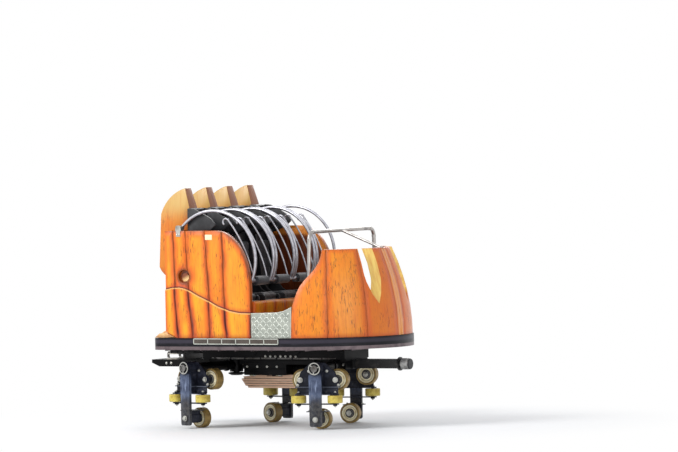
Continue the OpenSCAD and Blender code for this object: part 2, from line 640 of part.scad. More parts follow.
module restraint(i) translate([0, seat_y[i - 1], 0]) color([0.8, 0.82, 0.84]) difference() {
    union() {
        for (s = [-1, 1]) {
            bent_tube(hoop_x, s * arm_off, hoop_z, hoop_r, tube_r, hoop_end, hoop_up);
            rod_y(hinge_r + 13, hinge_x, s * arm_off - 14, s * arm_off + 14, hinge_z);
            bent_tube(grip_x, s * grip_off, grip_z, grip_bend, grip_r, grip_a0, grip_a1);
            translate([grip_x + grip_bend * cos(grip_a1), s * grip_off,
                grip_z + grip_bend * sin(grip_a1)]) sphere(r = grip_r + 4);
            bent_tube(grip_x + (grip_bend - hook_r) * cos(grip_a1), s * grip_off,
                grip_z + (grip_bend - hook_r) * sin(grip_a1),
                hook_r, grip_r, grip_a1, grip_a1 + 190);
        }
        rod_y(lap_bar, lap_x, -arm_off - 14, arm_off + 14, lap_z);
    }
    rod_y(hinge_r + fit, hinge_x, -300, 300, hinge_z);
}

module lap_pad(i) translate([0, seat_y[i - 1], 0]) color([0.12, 0.12, 0.13]) difference() {
    across(-grip_off + 18, grip_off - 18)
        polygon(rounded([[lap_x - 62, lap_z - 46, 34], [lap_x + 44, lap_z - 46, 34],
        [lap_x + 44, lap_z + 44, 34], [lap_x - 62, lap_z + 44, 34]]));
    rod_y(lap_bar + gap, lap_x, -200, 200, lap_z);
}

module pivot_brackets() color([0.75, 0.76, 0.78]) {
    for (y = [-seat_pitch, 0, seat_pitch]) {
        across(y - 4, y + 4) polygon(rounded([[wall_front + gap, 1740, 0], [-750, 1740, 20],
            [hinge_x + 22, hinge_z - 20, 12],
            [hinge_x + 22, hinge_z + 22, 14], [hinge_x - 20, hinge_z + 22, 14],
                [wall_front + gap, 1895, 0]]));
        rod_y(hinge_r, hinge_x, y - 40, y + 40, hinge_z);
    }
    both_sides() {
        across(panel_y - panel_t, panel_y + 5)
            polygon(rounded([[hinge_x - 32, panel_z, 0], [hinge_x + 32, panel_z, 0],
            [hinge_x + 26, hinge_z + 24, 18], [hinge_x - 26, hinge_z + 24, 18]]));
        block(hinge_x - 24, hinge_x + 24, panel_y + gap, panel_y + 5, panel_z - 55, panel_z + 1);
        rod_y(hinge_r, hinge_x, 1.5 * seat_pitch + arm_off - 16, panel_y - panel_t + 1, hinge_z);
    }
}

chassis_frame();
equipment_box();
drive_skid();
front_bumper();
rear_bumper();
rear_bracket();
ring_lower();
axle(1);  // front_axle
axle(-1);  // rear_axle
platform_deck();
platform_skirt();
side_panels();
rear_staves();
rear_panel();
stump_skirt();
front_shell();
dash_panel();
sill_plates();
step_plates();
handrail();
seat_base();
seat_shells();
seat_wings();
seat_pads();
pivot_brackets();
ring_upper();
for (b = BOGIES) bogie(b);
for (w = WHEELS) wheel(w);
for (i = [1:4]) restraint(i);
for (i = [1:4]) lap_pad(i);
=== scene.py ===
"""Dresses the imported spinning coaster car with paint, cast wheels, bolts, tread and padding."""

from __future__ import annotations

import logging
import math
from dataclasses import dataclass, field
from enum import Enum
from typing import Callable, Iterable, Optional, Sequence, Union

import bpy
from mathutils import Matrix, Vector, noise


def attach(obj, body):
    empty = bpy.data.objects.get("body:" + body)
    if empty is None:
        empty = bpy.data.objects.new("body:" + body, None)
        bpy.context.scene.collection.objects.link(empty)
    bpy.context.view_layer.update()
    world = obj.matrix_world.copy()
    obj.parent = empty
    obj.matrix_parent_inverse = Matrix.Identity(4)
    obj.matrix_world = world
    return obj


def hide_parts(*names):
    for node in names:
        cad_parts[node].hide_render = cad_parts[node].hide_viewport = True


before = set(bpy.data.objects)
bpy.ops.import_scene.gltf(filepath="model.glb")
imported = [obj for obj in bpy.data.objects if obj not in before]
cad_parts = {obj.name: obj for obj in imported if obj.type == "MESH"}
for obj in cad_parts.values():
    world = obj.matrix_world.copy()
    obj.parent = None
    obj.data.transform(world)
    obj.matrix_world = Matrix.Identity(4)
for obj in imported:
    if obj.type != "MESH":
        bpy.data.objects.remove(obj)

LOG = logging.getLogger("coaster_car")
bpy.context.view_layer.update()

Colour = tuple[float, float, float, float]
Number = Union["Wire", float]
Socket = bpy.types.NodeSocket
Piece = bpy.types.Object
Material = bpy.types.Material
Triple = tuple[float, float, float]
Numbers = tuple[float, ...]
Pairs = tuple[tuple[float, float], ...]
Blend = tuple[Colour, Colour]

SIDES = (-1, 1)
UP: Triple = (0.0, 0.0, 1.0)
DOWN: Triple = (0.0, 0.0, -1.0)


def paint(red: int, green: int, blue: int) -> Colour:
    """Turns a colour as a screen shows it into the linear one that shaders take.

    Args:
        red: Red, 0 to 255.
        green: Green, 0 to 255.
        blue: Blue, 0 to 255.

    Returns:
        The linear colour with full opacity.
    """
    parts = [c / 255 for c in (red, green, blue)]
    linear = [c / 12.92 if c <= 0.04045 else ((c + 0.055) / 1.055) ** 2.4 for c in parts]
    return (linear[0], linear[1], linear[2], 1.0)


class Wire:
    """One value running through a material's nodes, with arithmetic on it."""

    def __init__(self, tree: bpy.types.NodeTree, socket: Socket) -> None:
        """Keeps the tree and the socket that gives the value."""
        self.tree = tree
        self.socket = socket

    def math(self, operation: str, *others: Number, clamp: bool = False) -> Wire:
        """Adds a Math node.

        Args:
            operation: The node's operation.
            others: Second and third inputs.
            clamp: Whether the result stays between 0 and 1.

        Returns:
            The node's result.
        """
        node = self.tree.nodes.new("ShaderNodeMath")
        node.operation = operation
        node.use_clamp = clamp
        self.tree.links.new(self.socket, node.inputs[0])
        for index, value in enumerate(others, 1):
            if isinstance(value, Wire):
                self.tree.links.new(value.socket, node.inputs[index])
            else:
                node.inputs[index].default_value = value
        return Wire(self.tree, node.outputs[0])

    def __add__(self, other: Number) -> Wire:
        """Adds."""
        return self.math("ADD", other)

    def __sub__(self, other: Number) -> Wire:
        """Subtracts."""
        return self.math("SUBTRACT", other)

    def __mul__(self, other: Number) -> Wire:
        """Multiplies."""
        return self.math("MULTIPLY", other)

    def flip(self) -> Wire:
        """Gives one minus the value."""
        return (self * -1.0) + 1.0

    def size(self) -> Wire:
        """Gives the value without its sign."""
        return self.math("ABSOLUTE")

    def least(self, other: Number) -> Wire:
        """Gives the smaller of two values."""
        return self.math("MINIMUM", other)

    def most(self, other: Number) -> Wire:
        """Gives the larger of two values."""
        return self.math("MAXIMUM", other)

    def spread(self, low: float, high: float, smooth: bool = True) -> Wire:
        """Maps low to 0 and high to 1, held there beyond.

        Args:
            low: The value that gives 0.
            high: The value that gives 1.
            smooth: Whether it eases in and out.

        Returns:
            The mapped value.
        """
        node = self.tree.nodes.new("ShaderNodeMapRange")
        node.interpolation_type = "SMOOTHSTEP" if smooth else "LINEAR"
        self.tree.links.new(self.socket, node.inputs["Value"])
        node.inputs["From Min"].default_value = low
        node.inputs["From Max"].default_value = high
        return Wire(self.tree, node.outputs["Result"])

    def curve(self, points: Sequence[tuple[float, float]], low: float, high: float) -> Wire:
        """Looks the value up on a polyline.

        Args:
            points: Input and output of each corner, in rising order of input.
            low: The lowest output that the line has.
            high: The highest output that the line has.

        Returns:
            The output at the value.
        """
        start, end = points[0][0], points[-1][0]
        node = self.tree.nodes.new("ShaderNodeFloatCurve")
        line = node.mapping.curves[0]
        flat = [((a - start) / (end - start), (b - low) / (high - low)) for a, b in points]
        while len(line.points) < len(flat):
            line.points.new(0.5, 0.5)
        for point, place in zip(line.points, flat):
            point.location = place
            point.handle_type = "VECTOR"
        node.mapping.update()
        self.tree.links.new(((self - start) * (1 / (end - start))).socket, node.inputs["Value"])
        return Wire(self.tree, node.outputs[0]) * (high - low) + low


class Graph:
    """A material under construction, whose bumps are summed in steps of one unit."""

    unit = 0.001

    def __init__(self, name: str) -> None:
        """Makes an empty material with one shader in it.

        Args:
            name: The material's name.
        """
        self.material = bpy.data.materials.new(name)
        self.material.use_nodes = True
        self.tree = self.material.node_tree
        self.tree.nodes.clear()
        out = self.tree.nodes.new("ShaderNodeOutputMaterial")
        self.shader = self.tree.nodes.new("ShaderNodeBsdfPrincipled")
        self.tree.links.new(self.shader.outputs[0], out.inputs["Surface"])
        self.coordinates = self.tree.nodes.new("ShaderNodeTexCoord")
        self.bumps: list[tuple[Wire, float]] = []

    def split(self, output: str) -> tuple[Wire, Wire, Wire]:
        """Gives the three parts of a texture coordinate.

        Args:
            output: The coordinate, such as Object or Normal.

        Returns:
            Its x, y and z.
        """
        node = self.tree.nodes.new("ShaderNodeSeparateXYZ")
        self.tree.links.new(self.coordinates.outputs[output], node.inputs[0])
        x, y, z = (Wire(self.tree, part) for part in node.outputs)
        return x, y, z

    def local(self, centre: Vector, turn: float) -> tuple[Wire, Wire, Wire]:
        """Gives the object's coordinates about a point, turned about the upright axis.

        Args:
            centre: The point, in metres.
            turn: The angle in radians.

        Returns:
            The place along, across and up.
        """
        x, y, z = self.split("Object")
        x, y, z = x - centre.x, y - centre.y, z - centre.z
        c, s = math.cos(turn), math.sin(turn)
        return x * c + y * s, y * c - x * s, z

    def grain(
        self,
        u: Number,
        v: Number,
        w: Number,
        scale: float,
        detail: float = 4.0,
        rough: float = 0.55,
    ) -> Wire:
        """Gives noise at three coordinates.

        Args:
            u: First coordinate.
            v: Second coordinate.
            w: Third coordinate.
            scale: The noise's scale.
            detail: Its octaves.
            rough: Its roughness.

        Returns:
            The noise, around one half.
        """
        joined = self.tree.nodes.new("ShaderNodeCombineXYZ")
        for socket, value in zip(joined.inputs, (u, v, w)):
            if isinstance(value, Wire):
                self.tree.links.new(value.socket, socket)
            else:
                socket.default_value = value
        node = self.tree.nodes.new("ShaderNodeTexNoise")
        self.tree.links.new(joined.outputs[0], node.inputs["Vector"])
        node.inputs["Scale"].default_value = scale
        node.inputs["Detail"].default_value = detail
        node.inputs["Roughness"].default_value = rough
        return Wire(self.tree, node.outputs[0])

    def ramp(self, value: Wire, stops: Sequence[tuple[float, Colour]]) -> Socket:
        """Colours a value from 0 to 1.

        Args:
            value: The value.
            stops: Place and colour of each stop.

        Returns:
            The colour's socket.
        """
        node = self.tree.nodes.new("ShaderNodeValToRGB")
        elements = node.color_ramp.elements
        while len(elements) < len(stops):
            elements.new(0.5)
        for element, (place, colour) in zip(elements, stops):
            element.position = place
            element.color = colour
        self.tree.links.new(value.socket, node.inputs[0])
        return node.outputs[0]

    def mix(
        self, factor: Number, first: Union[Socket, Colour], second: Union[Socket, Colour]
    ) -> Socket:
        """Mixes two colours.

        Args:
            factor: How much of the second.
            first: The first colour or its socket.
            second: The second colour or its socket.

        Returns:
            The mixed colour's socket.
        """
        node = self.tree.nodes.new("ShaderNodeMix")
        node.data_type = "RGBA"
        if isinstance(factor, Wire):
            self.tree.links.new(factor.socket, node.inputs[0])
        else:
            node.inputs[0].default_value = factor
        for index, value in ((6, first), (7, second)):
            if isinstance(value, Socket):
                self.tree.links.new(value, node.inputs[index])
            else:
                node.inputs[index].default_value = value
        return node.outputs[2]

    def raise_by(self, height: Wire, depth: float) -> None:
        """Keeps a height for the bump, 0 to 1 times a depth in metres."""
        self.bumps.append((height, depth))

    def set(self, socket: str, value: Union[Wire, Socket, float, Colour]) -> None:
        """Links or sets one of the shader's sockets.

        Args:
            socket: The socket's name.
            value: A wire or socket to link, or a number or colour to set.
        """
        target = self.shader.inputs[socket]
        if isinstance(value, Wire):
            self.tree.links.new(value.socket, target)
        elif isinstance(value, Socket):
            self.tree.links.new(value, target)
        else:
            target.default_value = value

    def done(self) -> Material:
        """Joins the bumps and gives the material.

        Returns:
            The finished material.
        """
        if self.bumps:
            parts = [height * (depth / self.unit) for height, depth in self.bumps]
            total = parts[0]
            for part in parts[1:]:
                total = total + part
            node = self.tree.nodes.new("ShaderNodeBump")
            node.inputs["Strength"].default_value = 1.0
            node.inputs["Distance"].default_value = self.unit
            self.tree.links.new(total.socket, node.inputs["Height"])
            self.tree.links.new(node.outputs[0], self.shader.inputs["Normal"])
        return self.material


class Layout(Enum):
    """How the boards of a painted piece run."""

    SIDE = "side panel"
    SHELL = "round front"
    REAR = "rear wall"
    STAVE = "horned stave"
    PLAIN = "plain boards"
    DARK = "shaded inner boards"


@dataclass
class Planking:
    """Where a point of a planked piece lies, as wires that the steps of its paint share."""

    g: Graph
    place: tuple[Wire, Wire, Wire]
    across: Wire
    depth: Wire
    distance: Wire
    outside: Wire
    over_ledge: Optional[Wire] = None
    outline: Optional[Wire] = None
    outward: Optional[Wire] = None
    upright: Optional[Wire] = None
    wobble: Wire = field(init=False)
    near: Wire = field(init=False)
    streaks: Wire = field(init=False)

    def __post_init__(self) -> None:
        """Adds the wood's long streaks and the wobbling distance from the nearest joint."""
        across, depth, z = self.across, self.depth, self.place[2]
        self.wobble = self.g.grain(across, depth, z * 0.4, 9.0, 2.0)
        self.near = self.distance + (self.wobble - 0.5) * 0.014
        self.streaks = self.g.grain(across * 58.0, depth * 10.0, z * 3.0, 1.0, 5.0, 0.62)


@dataclass(frozen=True)
class PlankPaint:
    """Airbrushed planks: light boards that darken to red-brown at each joint, under a coat."""

    layout: Layout
    light: Colour = paint(248, 166, 26)
    middle: Colour = paint(236, 124, 18)
    warm: Colour = paint(230, 110, 18)
    edge: Colour = paint(186, 66, 10)
    joint: Colour = paint(84, 18, 4)
    grain_dark: Colour = paint(104, 40, 12)
    # Painted shade on the faces that look into the cabin, and the orange where it fades near the
    # rim.
    inner: Colour = paint(118, 58, 26)
    inner_stave_shade: Colour = paint(160, 92, 44)
    inner_rim: Colour = paint(236, 168, 74)
    cream: Colour = paint(200, 162, 92)
    knot_shadow: Colour = paint(120, 58, 26)
    knot_pale: Colour = paint(250, 206, 140)
    ledge_highlight: Colour = paint(255, 190, 110)
    nose_shade_red: Colour = paint(208, 84, 12)
    centre_highlight: Colour = paint(244, 190, 150)
    torn: Blend = (paint(246, 210, 112), paint(214, 142, 52))
    stave_brown: Blend = (paint(184, 106, 36), paint(190, 128, 62))
    knot: Triple = (-0.635, 1.480, 0.065)
    side_joints: tuple[Triple, ...] = (
        (-0.752, -0.738, -0.706), (-0.615, -0.584, -0.543), (-0.397, -0.356, -0.350),
        (-0.200, -0.189, -0.159),
    )
    side_rear: float = -0.87
    side_middle: float = 1.30
    side_spans: tuple[float, float] = (0.62, 0.415)
    side_curve: tuple[float, float] = (-0.27, 1.36)
    side_reach: tuple[float, float] = (0.375, 0.56)
    side_curve_depth: float = 0.45
    ledge: Pairs = (
        (-0.845, 1.352), (-0.770, 1.368), (-0.688, 1.371), (-0.630, 1.360),
        (-0.580, 1.342), (-0.474, 1.288), (-0.367, 1.243), (-0.252, 1.186),
        (-0.127, 1.145), (-0.020, 1.126), (0.105, 1.122),
    )
    shell_edge: Pairs = (
        (0.88, 0.56), (1.190, 0.560), (1.258, 0.578), (1.322, 0.597), (1.382, 0.622),
        (1.434, 0.656), (1.488, 0.700), (1.548, 0.742), (1.608, 0.764), (1.670, 0.771),
        (1.730, 0.770),
    )
    shell_joints: Numbers = (4.6, 31.5, 59.0)
    shell_reach: float = 0.75
    shell_top: float = 1.727
    rear_joints: Numbers = (0.1154, 0.3462, 0.577)
    nose_x: float = 0.475
    deck_top: float = 0.885
    stave_pitch: float = 0.386
    stave_foot: float = 1.47
    stave_front: float = 0.668
    plain_pitch: float = 0.193

    def side_distance(self, x: Wire, z: Wire, sway: Wire) -> tuple[Wire, Wire, Wire]:
        """Finds how far a point of the side panel is from the nearest joint or edge.

        Args:
            x: Place along the car.
            z: Height.
            sway: How far the joints stray from their lines.

        Returns:
            The distance, the height above the wavy ledge and the distance from the curved edge.
        """
        over, under = self.side_spans
        upper = (z - self.side_middle).math("MULTIPLY", 1 / over, clamp=True)
        lower = ((z * -1.0) + self.side_middle).math("MULTIPLY", 1 / under, clamp=True)
        nearest = x - self.side_rear
        for top, middle, bottom in self.side_joints:
            line = upper * (top - middle) + lower * (bottom - middle) + middle
            nearest = nearest.least((x - line + sway).size())
        ahead = ((x - self.side_curve[0]) * (1 / self.side_reach[0])).most(0.0)
        above = ((z - self.side_curve[1]) * (1 / self.side_reach[1])).most(0.0)
        outline = (ahead * ahead + above * above).math("SQRT").flip() * self.side_curve_depth
        over_ledge = z - x.curve(self.ledge, 1.1, 1.4)
        return nearest.least(outline), over_ledge, outline

    def shell_distance(self, x: Wire, y: Wire, z: Wire, sway: Wire) -> tuple[Wire, Wire, Wire]:
        """Finds how far a point of the round front is from the nearest joint or edge.

        Args:
            x: Place along the car.
            y: Place across it.
            z: Height.
            sway: How far the joints stray from their lines.

        Returns:
            The distance, the distance from the axis and the angle times the shell's reach.
        """
        ahead = x - self.nose_x
        radius = (ahead * ahead + y * y).math("SQRT")
        along = y.size().math("ARCTAN2", ahead) * self.shell_reach
        gaps = [
            (along + (sway - math.radians(turn) * self.shell_reach)).size()
            for turn in self.shell_joints
        ]
        nearest = gaps[0].least(gaps[1]).least(gaps[2])
        rear = x - z.curve(self.shell_edge, 0.5, 0.8)
        top = (z * -1.0) + self.shell_top
        return nearest.least(rear * 0.8).least(top * 1.4), radius, along

    def knot_ring(self, x: Wire, z: Wire) -> Wire:
        """Gives the distance outside the rim of the side panel's knot hole."""
        off_x, off_z = x - self.knot[0], z - self.knot[1]
        return (off_x * off_x + off_z * off_z).math("SQRT") - self.knot[2]

    def measure(self, g: Graph) -> Planking:
        """Finds the run of the boards, their joints and their outer faces for this layout.

        Args:
            g: The material under construction.

        Returns:
            The planking.
        """
        x, y, z = place = g.split("Object")
        nx, ny, nz = g.split("Normal")
        sway = (g.grain(x * 1.5, y, z, 4.5, 1.0) - 0.5) * 0.045
        if self.layout is Layout.SIDE:
            distance, over, outline = self.side_distance(x, z, sway)
            distance = distance.least(self.knot_ring(x, z).size() * 0.7)
            outside = (ny * y.math("SIGN")).spread(-0.6, -0.4)
            return Planking(g, place, x, y, distance, outside, over, outline)
        if self.layout is Layout.SHELL:
            distance, radius, across = self.shell_distance(x, y, z, sway)
            outward = (nx * (x - self.nose_x) + ny * y) * radius.math("POWER", -1.0)
            outside = outward.spread(-0.75, -0.55)
            upright = nz.size()
            return Planking(
                g, place, across, radius, distance, outside, outward=outward, upright=upright
            )
        if self.layout is Layout.REAR:
            gaps = [(y.size() - joint).size() for joint in self.rear_joints]
            distance = gaps[0].least(gaps[1]).least(gaps[2])
            return Planking(g, place, y, x, distance, (nx * -1.0).spread(-0.8, -0.6))
        if self.layout is Layout.STAVE:
            turns = (y * (1 / self.stave_pitch)).math("FRACT")
            offset = turns * self.stave_pitch - self.stave_pitch / 2
            sideways = ny.size().spread(0.4, 0.6)
            across = offset * sideways.flip() + x * sideways
            front = (x * -1.0 - self.stave_front).size()
            distance = front.least((z - self.stave_foot) * 0.6) + sideways.flip() * 0.05
            return Planking(g, place, across, y, distance, nx.spread(0.75, 0.6))
        near = (y * (1 / self.plain_pitch)).math("FRACT") * self.plain_pitch
        distance = near.least((near * -1.0) + self.plain_pitch) + 0.012
        return Planking(g, place, x + y, z * 0.1, distance, nz.spread(-2.0, -1.5))

    def airbrush(self, plan: Planking) -> Socket:
        """Lays the boards' colours, from dark joints to a light middle.

        Args:
            plan: The planking.

        Returns:
            The boards' colour.
        """
        g = plan.g
        board = g.ramp(
            plan.near.spread(0.0, 0.115, smooth=False),
            [
                (0.0, self.joint),
                (0.06, self.joint),
                (0.12, self.edge),
                (0.27, self.warm),
                (0.58, self.light),
            ],
        )
        patches = g.grain(plan.across * 2.2, plan.depth * 2.2, plan.place[2] * 0.8, 3.2, 3.0)
        board = g.mix(patches.spread(0.38, 0.72) * 0.55, board, self.warm)
        if self.layout is Layout.SIDE:
            return g.mix(plan.over_ledge.spread(-0.02, 0.10) * 0.3, board, self.middle)
        board = g.mix(0.55 if self.layout is Layout.SHELL else 0.35, board, self.middle)
        if self.layout is Layout.STAVE:
            board = g.mix(0.6, board, self.stave_brown[0])
        return board

    def tick_marks(self, plan: Planking) -> Wire:
        """Gives the short dark ticks and thin veins of the wood.

        Args:
            plan: The planking.

        Returns:
            One on the marks, none between.
        """
        g, across, depth, z = plan.g, plan.across, plan.depth, plan.place[2]
        ticks = g.grain(across * 150.0, depth * 20.0, z * 13.0, 1.0, 1.0)
        where = g.grain(across * 9.0, depth * 3.0, z * 6.0, 1.0, 2.0)
        veins = g.grain(across * 26.0, depth * 8.0, z * 2.2, 1.0, 2.0)
        thin = (veins - 0.5).size().spread(0.016, 0.004) * where.spread(0.44, 0.60) * 0.6
        return (ticks.spread(0.62, 0.69) * where.spread(0.42, 0.58)).most(thin)

    def draw_side(self, plan: Planking, board: Socket) -> Socket:
        """Draws the side panel's wavy ledge and its knot hole, with painted shadow and highlight.

        Args:
            plan: The planking.
            board: The colour so far.

        Returns:
            The colour with both drawn in.
        """
        g, over, (x, _, z) = plan.g, plan.over_ledge, plan.place
        # Painted shadow above the ledge's lip, a painted shadow line just over it, a painted
        # highlight on it.
        shade = over.spread(0.0, 0.004) * over.spread(0.060, 0.006) * 0.7
        line = over.spread(-0.001, 0.002) * over.spread(0.017, 0.010) * 0.9
        shine = over.spread(-0.014, -0.004) * over.spread(0.001, 0.0)
        for amount, colour in ((shade, self.edge), (line, self.joint), (shine, self.ledge_highlight)):
            board = g.mix(amount, board, colour)
        # The knot hole's pale wood, with painted shadow across its upper side under the rim.
        off_x, off_z = x - self.knot[0], z - self.knot[1]
        hole_lit = (off_x * 0.5 - off_z).spread(-0.01, 0.05)
        hole = self.knot_ring(x, z).spread(-0.006, -0.016)
        return g.mix(hole, board, g.mix(hole_lit, self.knot_shadow, self.knot_pale))

    def draw_stave(self, plan: Planking, board: Socket) -> Socket:
        """Bleaches a stave to bare cream wood towards its horn.

        Args:
            plan: The planking.
            board: The colour so far.

        Returns:
            The colour with the horn bleached.
        """
        g = plan.g
        height = plan.place[2] + (plan.wobble - 0.5) * 0.12
        bare = g.mix(plan.streaks.spread(0.4, 0.8) * 0.5, self.cream, self.stave_brown[1])
        pale = g.mix(height.spread(1.96, 2.20), board, bare)
        return g.mix(height.spread(1.90, 2.05), board, pale)

    def draw_shell(self, plan: Planking, board: Socket) -> Socket:
        """Darkens the nose to red, partly as painted shade, paints a reflection on its middle board
        and bares the wood in both splits.

        Args:
            plan: The planking.
            board: The colour so far.

        Returns:
            The colour with all three.
        """
        g, streaks, (x, y, _) = plan.g, plan.streaks, plan.place
        turned = y.size().math("ARCTAN2", x - self.nose_x)
        # Darker red towards the nose: painted shade of its shaded side, and a redder stain.
        board = g.mix(turned.spread(0.66, 0.50) * 0.5, board, self.nose_shade_red)
        # A painted highlight, as a reflection, on the narrow middle board that faces forward.
        centre = turned.spread(0.070, 0.040) * plan.near.spread(0.008, 0.020)
        pale = g.mix(streaks.spread(0.3, 0.7), self.centre_highlight, self.light)
        board = g.mix(centre * 0.65, board, pale)
        mouth = turned.spread(0.245, 0.250) * turned.spread(0.545, 0.540)
        cut = plan.outward.size().spread(0.89, 0.86) * plan.upright.spread(0.55, 0.40) * mouth
        return g.mix(cut, board, g.mix(streaks.spread(0.35, 0.7) * 0.6, *self.torn))

    def inside(self, plan: Planking) -> Socket:
        """Gives the colour of the faces that look into the cabin, dark brown as painted shade.

        Args:
            plan: The planking.

        Returns:
            The colour.
        """
        g = plan.g
        shaded = self.inner_stave_shade if self.layout is Layout.STAVE else self.inner
        inner = g.mix(plan.streaks.spread(0.35, 0.75) * 0.5, shaded, self.joint)
        # Near the side panel's rim the painted inner shade fades to orange.
        if self.layout is Layout.SIDE:
            rim = g.mix(plan.streaks, self.inner_rim, self.warm)
            inner = g.mix(plan.outline.spread(0.085, 0.050), inner, rim)
        return inner

    def build(self) -> Material:
        """Builds the paint.

        Returns:
            The finished material.
        """
        g = Graph(f"planks_{self.layout.name.lower()}")
        plan = self.measure(g)
        z, near, streaks = plan.place[2], plan.near, plan.streaks
        board = self.airbrush(plan)
        board = g.mix(streaks.spread(0.50, 0.78) * 0.55, board, self.edge)
        fine = g.grain(plan.across * 230.0, plan.depth * 30.0, z * 9.0, 1.0, 3.0)
        board = g.mix(fine.spread(0.50, 0.80) * 0.34, board, self.grain_dark)
        marks = self.tick_marks(plan)
        board = g.mix(marks * 0.9, board, self.grain_dark)
        board = g.mix((z - self.deck_top).spread(0.055, 0.0) * 0.6, board, self.edge)
        inner = self.inside(plan)
        if self.layout is Layout.SIDE:
            board = self.draw_side(plan, board)
        elif self.layout is Layout.STAVE:
            board = self.draw_stave(plan, board)
        elif self.layout is Layout.SHELL:
            board = self.draw_shell(plan, board)
        elif self.layout is Layout.DARK:
            board = g.mix(0.82, board, inner)
        # Faces that look into the cabin take the painted shade from inside().
        g.set("Base Color", g.mix(plan.outside, inner, board))
        g.set("Roughness", streaks.spread(0.2, 0.8) * 0.14 + 0.30)
        g.set("Specular IOR Level", 0.35)
        g.set("Coat Weight", 0.35)
        g.set("Coat Roughness", 0.22)
        g.raise_by(streaks, 0.0009)
        g.raise_by(fine, 0.0003)
        g.raise_by(marks * -1.0, 0.0008)
        if self.layout is Layout.SIDE:
            over = plan.over_ledge
            g.raise_by(over.spread(-0.010, 0.0) * over.spread(0.006, 0.0), 0.0040)
        g.raise_by(near.spread(0.0, 0.010), 0.0012)
        g.raise_by(near.spread(0.0, 0.045), 0.0045)
        return g.done()


@dataclass(frozen=True)
class StumpWood:
    """Pale bark-free wood with soft rings, for the roots at the rear."""

    pale: Colour = paint(234, 190, 130)
    warm: Colour = paint(204, 126, 60)
    crack: Colour = paint(104, 52, 24)

    def build(self) -> Material:
        """Builds the finish.

        Returns:
            The finished material.
        """
        g = Graph("stump_wood")
        x, y, z = g.split("Object")
        rings = g.grain(x * 26.0, y * 34.0, z * 9.0, 1.0, 5.0, 0.65)
        soft = g.grain(x, y, z, 14.0, 3.0)
        base = g.mix(rings.spread(0.35, 0.6), self.pale, g.mix(soft, self.pale, self.warm))
        base = g.mix(rings.spread(0.54, 0.66) * 0.85, base, self.crack)
        g.set("Base Color", g.mix((z - 0.885).spread(0.05, 0.0) * 0.5, base, self.crack))
        g.set("Roughness", soft * 0.2 + 0.45)
        g.raise_by(rings * -1.0, 0.0035)
        g.raise_by(soft, 0.003)
        return g.done()


@dataclass(frozen=True)
class Enamel:
    """Sprayed machine paint with orange-peel, dust and dull rubbed places."""

    name: str
    colour: Colour
    rubbed: Colour
    gloss: float = 0.38
    dust: float = 0.35
    shine: float = 0.5
    grime: Colour = paint(112, 104, 92)

    def build(self) -> Material:
        """Builds the finish.

        Returns:
            The finished material.
        """
        g = Graph(self.name)
        x, y, z = g.split("Object")
        cloud = g.grain(x, y, z, 9.0, 5.0, 0.6)
        scuff = g.grain(x * 14.0, y * 14.0, z * 60.0, 1.0, 6.0, 0.7)
        peel = g.grain(x, y, z, 420.0, 2.0)
        worn = cloud.spread(0.50, 0.72) * scuff.spread(0.48, 0.70)
        up = g.split("Normal")[2].spread(0.3, 0.95) * cloud.spread(0.35, 0.65)
        base = g.mix(worn * 0.8, self.colour, self.rubbed)
        g.set("Base Color", g.mix(up * self.dust, base, self.grime))
        g.set("Specular IOR Level", self.shine)
        g.set("Roughness", cloud * 0.22 + worn * 0.2 + (self.gloss - 0.08))
        g.raise_by(peel, 0.00012)
        g.raise_by(worn * -1.0, 0.0001)
        return g.done()


@dataclass(frozen=True)
class BogiePaint:
    """Near-black bogie plates with a painted highlight on their lower lip, and a blue-grey hanging
    arm rubbed to bare grey low down.
    """

    name: str
    centre: Vector
    turn: float
    side: int
    arm_from: float = 0.679
    arm_half: float = 0.075
    lip_z: float = 0.4065
    lip_from: float = 0.620
    black: Blend = (paint(22, 24, 34), paint(50, 54, 68))
    blue: Blend = (paint(58, 66, 88), paint(98, 110, 136))
    bare: Blend = (paint(38, 37, 35), paint(82, 78, 72))
    rub: Colour = paint(160, 172, 200)
    lip_highlight: Colour = paint(116, 122, 136)
    chip: Colour = paint(130, 126, 120)

    def build(self) -> Material:
        """Builds the paint about the axle's own middle.

        Returns:
            The finished material.
        """
        g = Graph(self.name)
        along, across, up = g.local(self.centre, self.turn)
        cloud = g.grain(along, across, up, 10.0, 5.0, 0.6)
        scuff = g.grain(along, across, up, 38.0, 6.0, 0.7)
        peel = g.grain(along, across, up, 420.0, 2.0)
        out = across * float(self.side)
        beyond = (out - self.arm_from).spread(-0.004, 0.004)
        arm = beyond * (along.size() - self.arm_half).spread(0.003, -0.003)
        plate = g.mix(cloud.spread(0.4, 0.7), *self.black)
        blue = g.mix(cloud.spread(0.35, 0.7), *self.blue)
        rubs = g.grain(along * 60.0, across * 60.0, up * 6.0, 1.0, 3.0)
        blue = g.mix(rubs.spread(0.52, 0.72) * up.spread(0.50, 0.40) * 0.7, blue, self.rub)
        blue = g.mix(up.spread(0.48, 0.56), blue, plate)
        bare = g.mix(scuff.spread(0.35, 0.65), *self.bare)
        blue = g.mix(up.spread(0.36, 0.22) * 0.85, blue, bare)
        worn = cloud.spread(0.52, 0.70) * scuff.spread(0.50, 0.68)
        # A painted highlight along the plates' folded lower lip.
        lip_highlight = (up - self.lip_z).size().spread(0.006, 0.0045)
        lip_highlight = lip_highlight * (out - self.lip_from).spread(-0.004, 0.004) * arm.flip()
        plate = g.mix(lip_highlight * 0.45, plate, self.lip_highlight)
        g.set("Base Color", g.mix(worn * 0.7, g.mix(arm, plate, blue), self.chip))
        g.set("Specular IOR Level", 0.2)
        g.set("Metallic", worn * 0.4)
        g.set("Roughness", cloud * 0.2 + worn * 0.15 + 0.30)
        g.raise_by(peel, 0.00012)
        g.raise_by(scuff, 0.0001)
        return g.done()


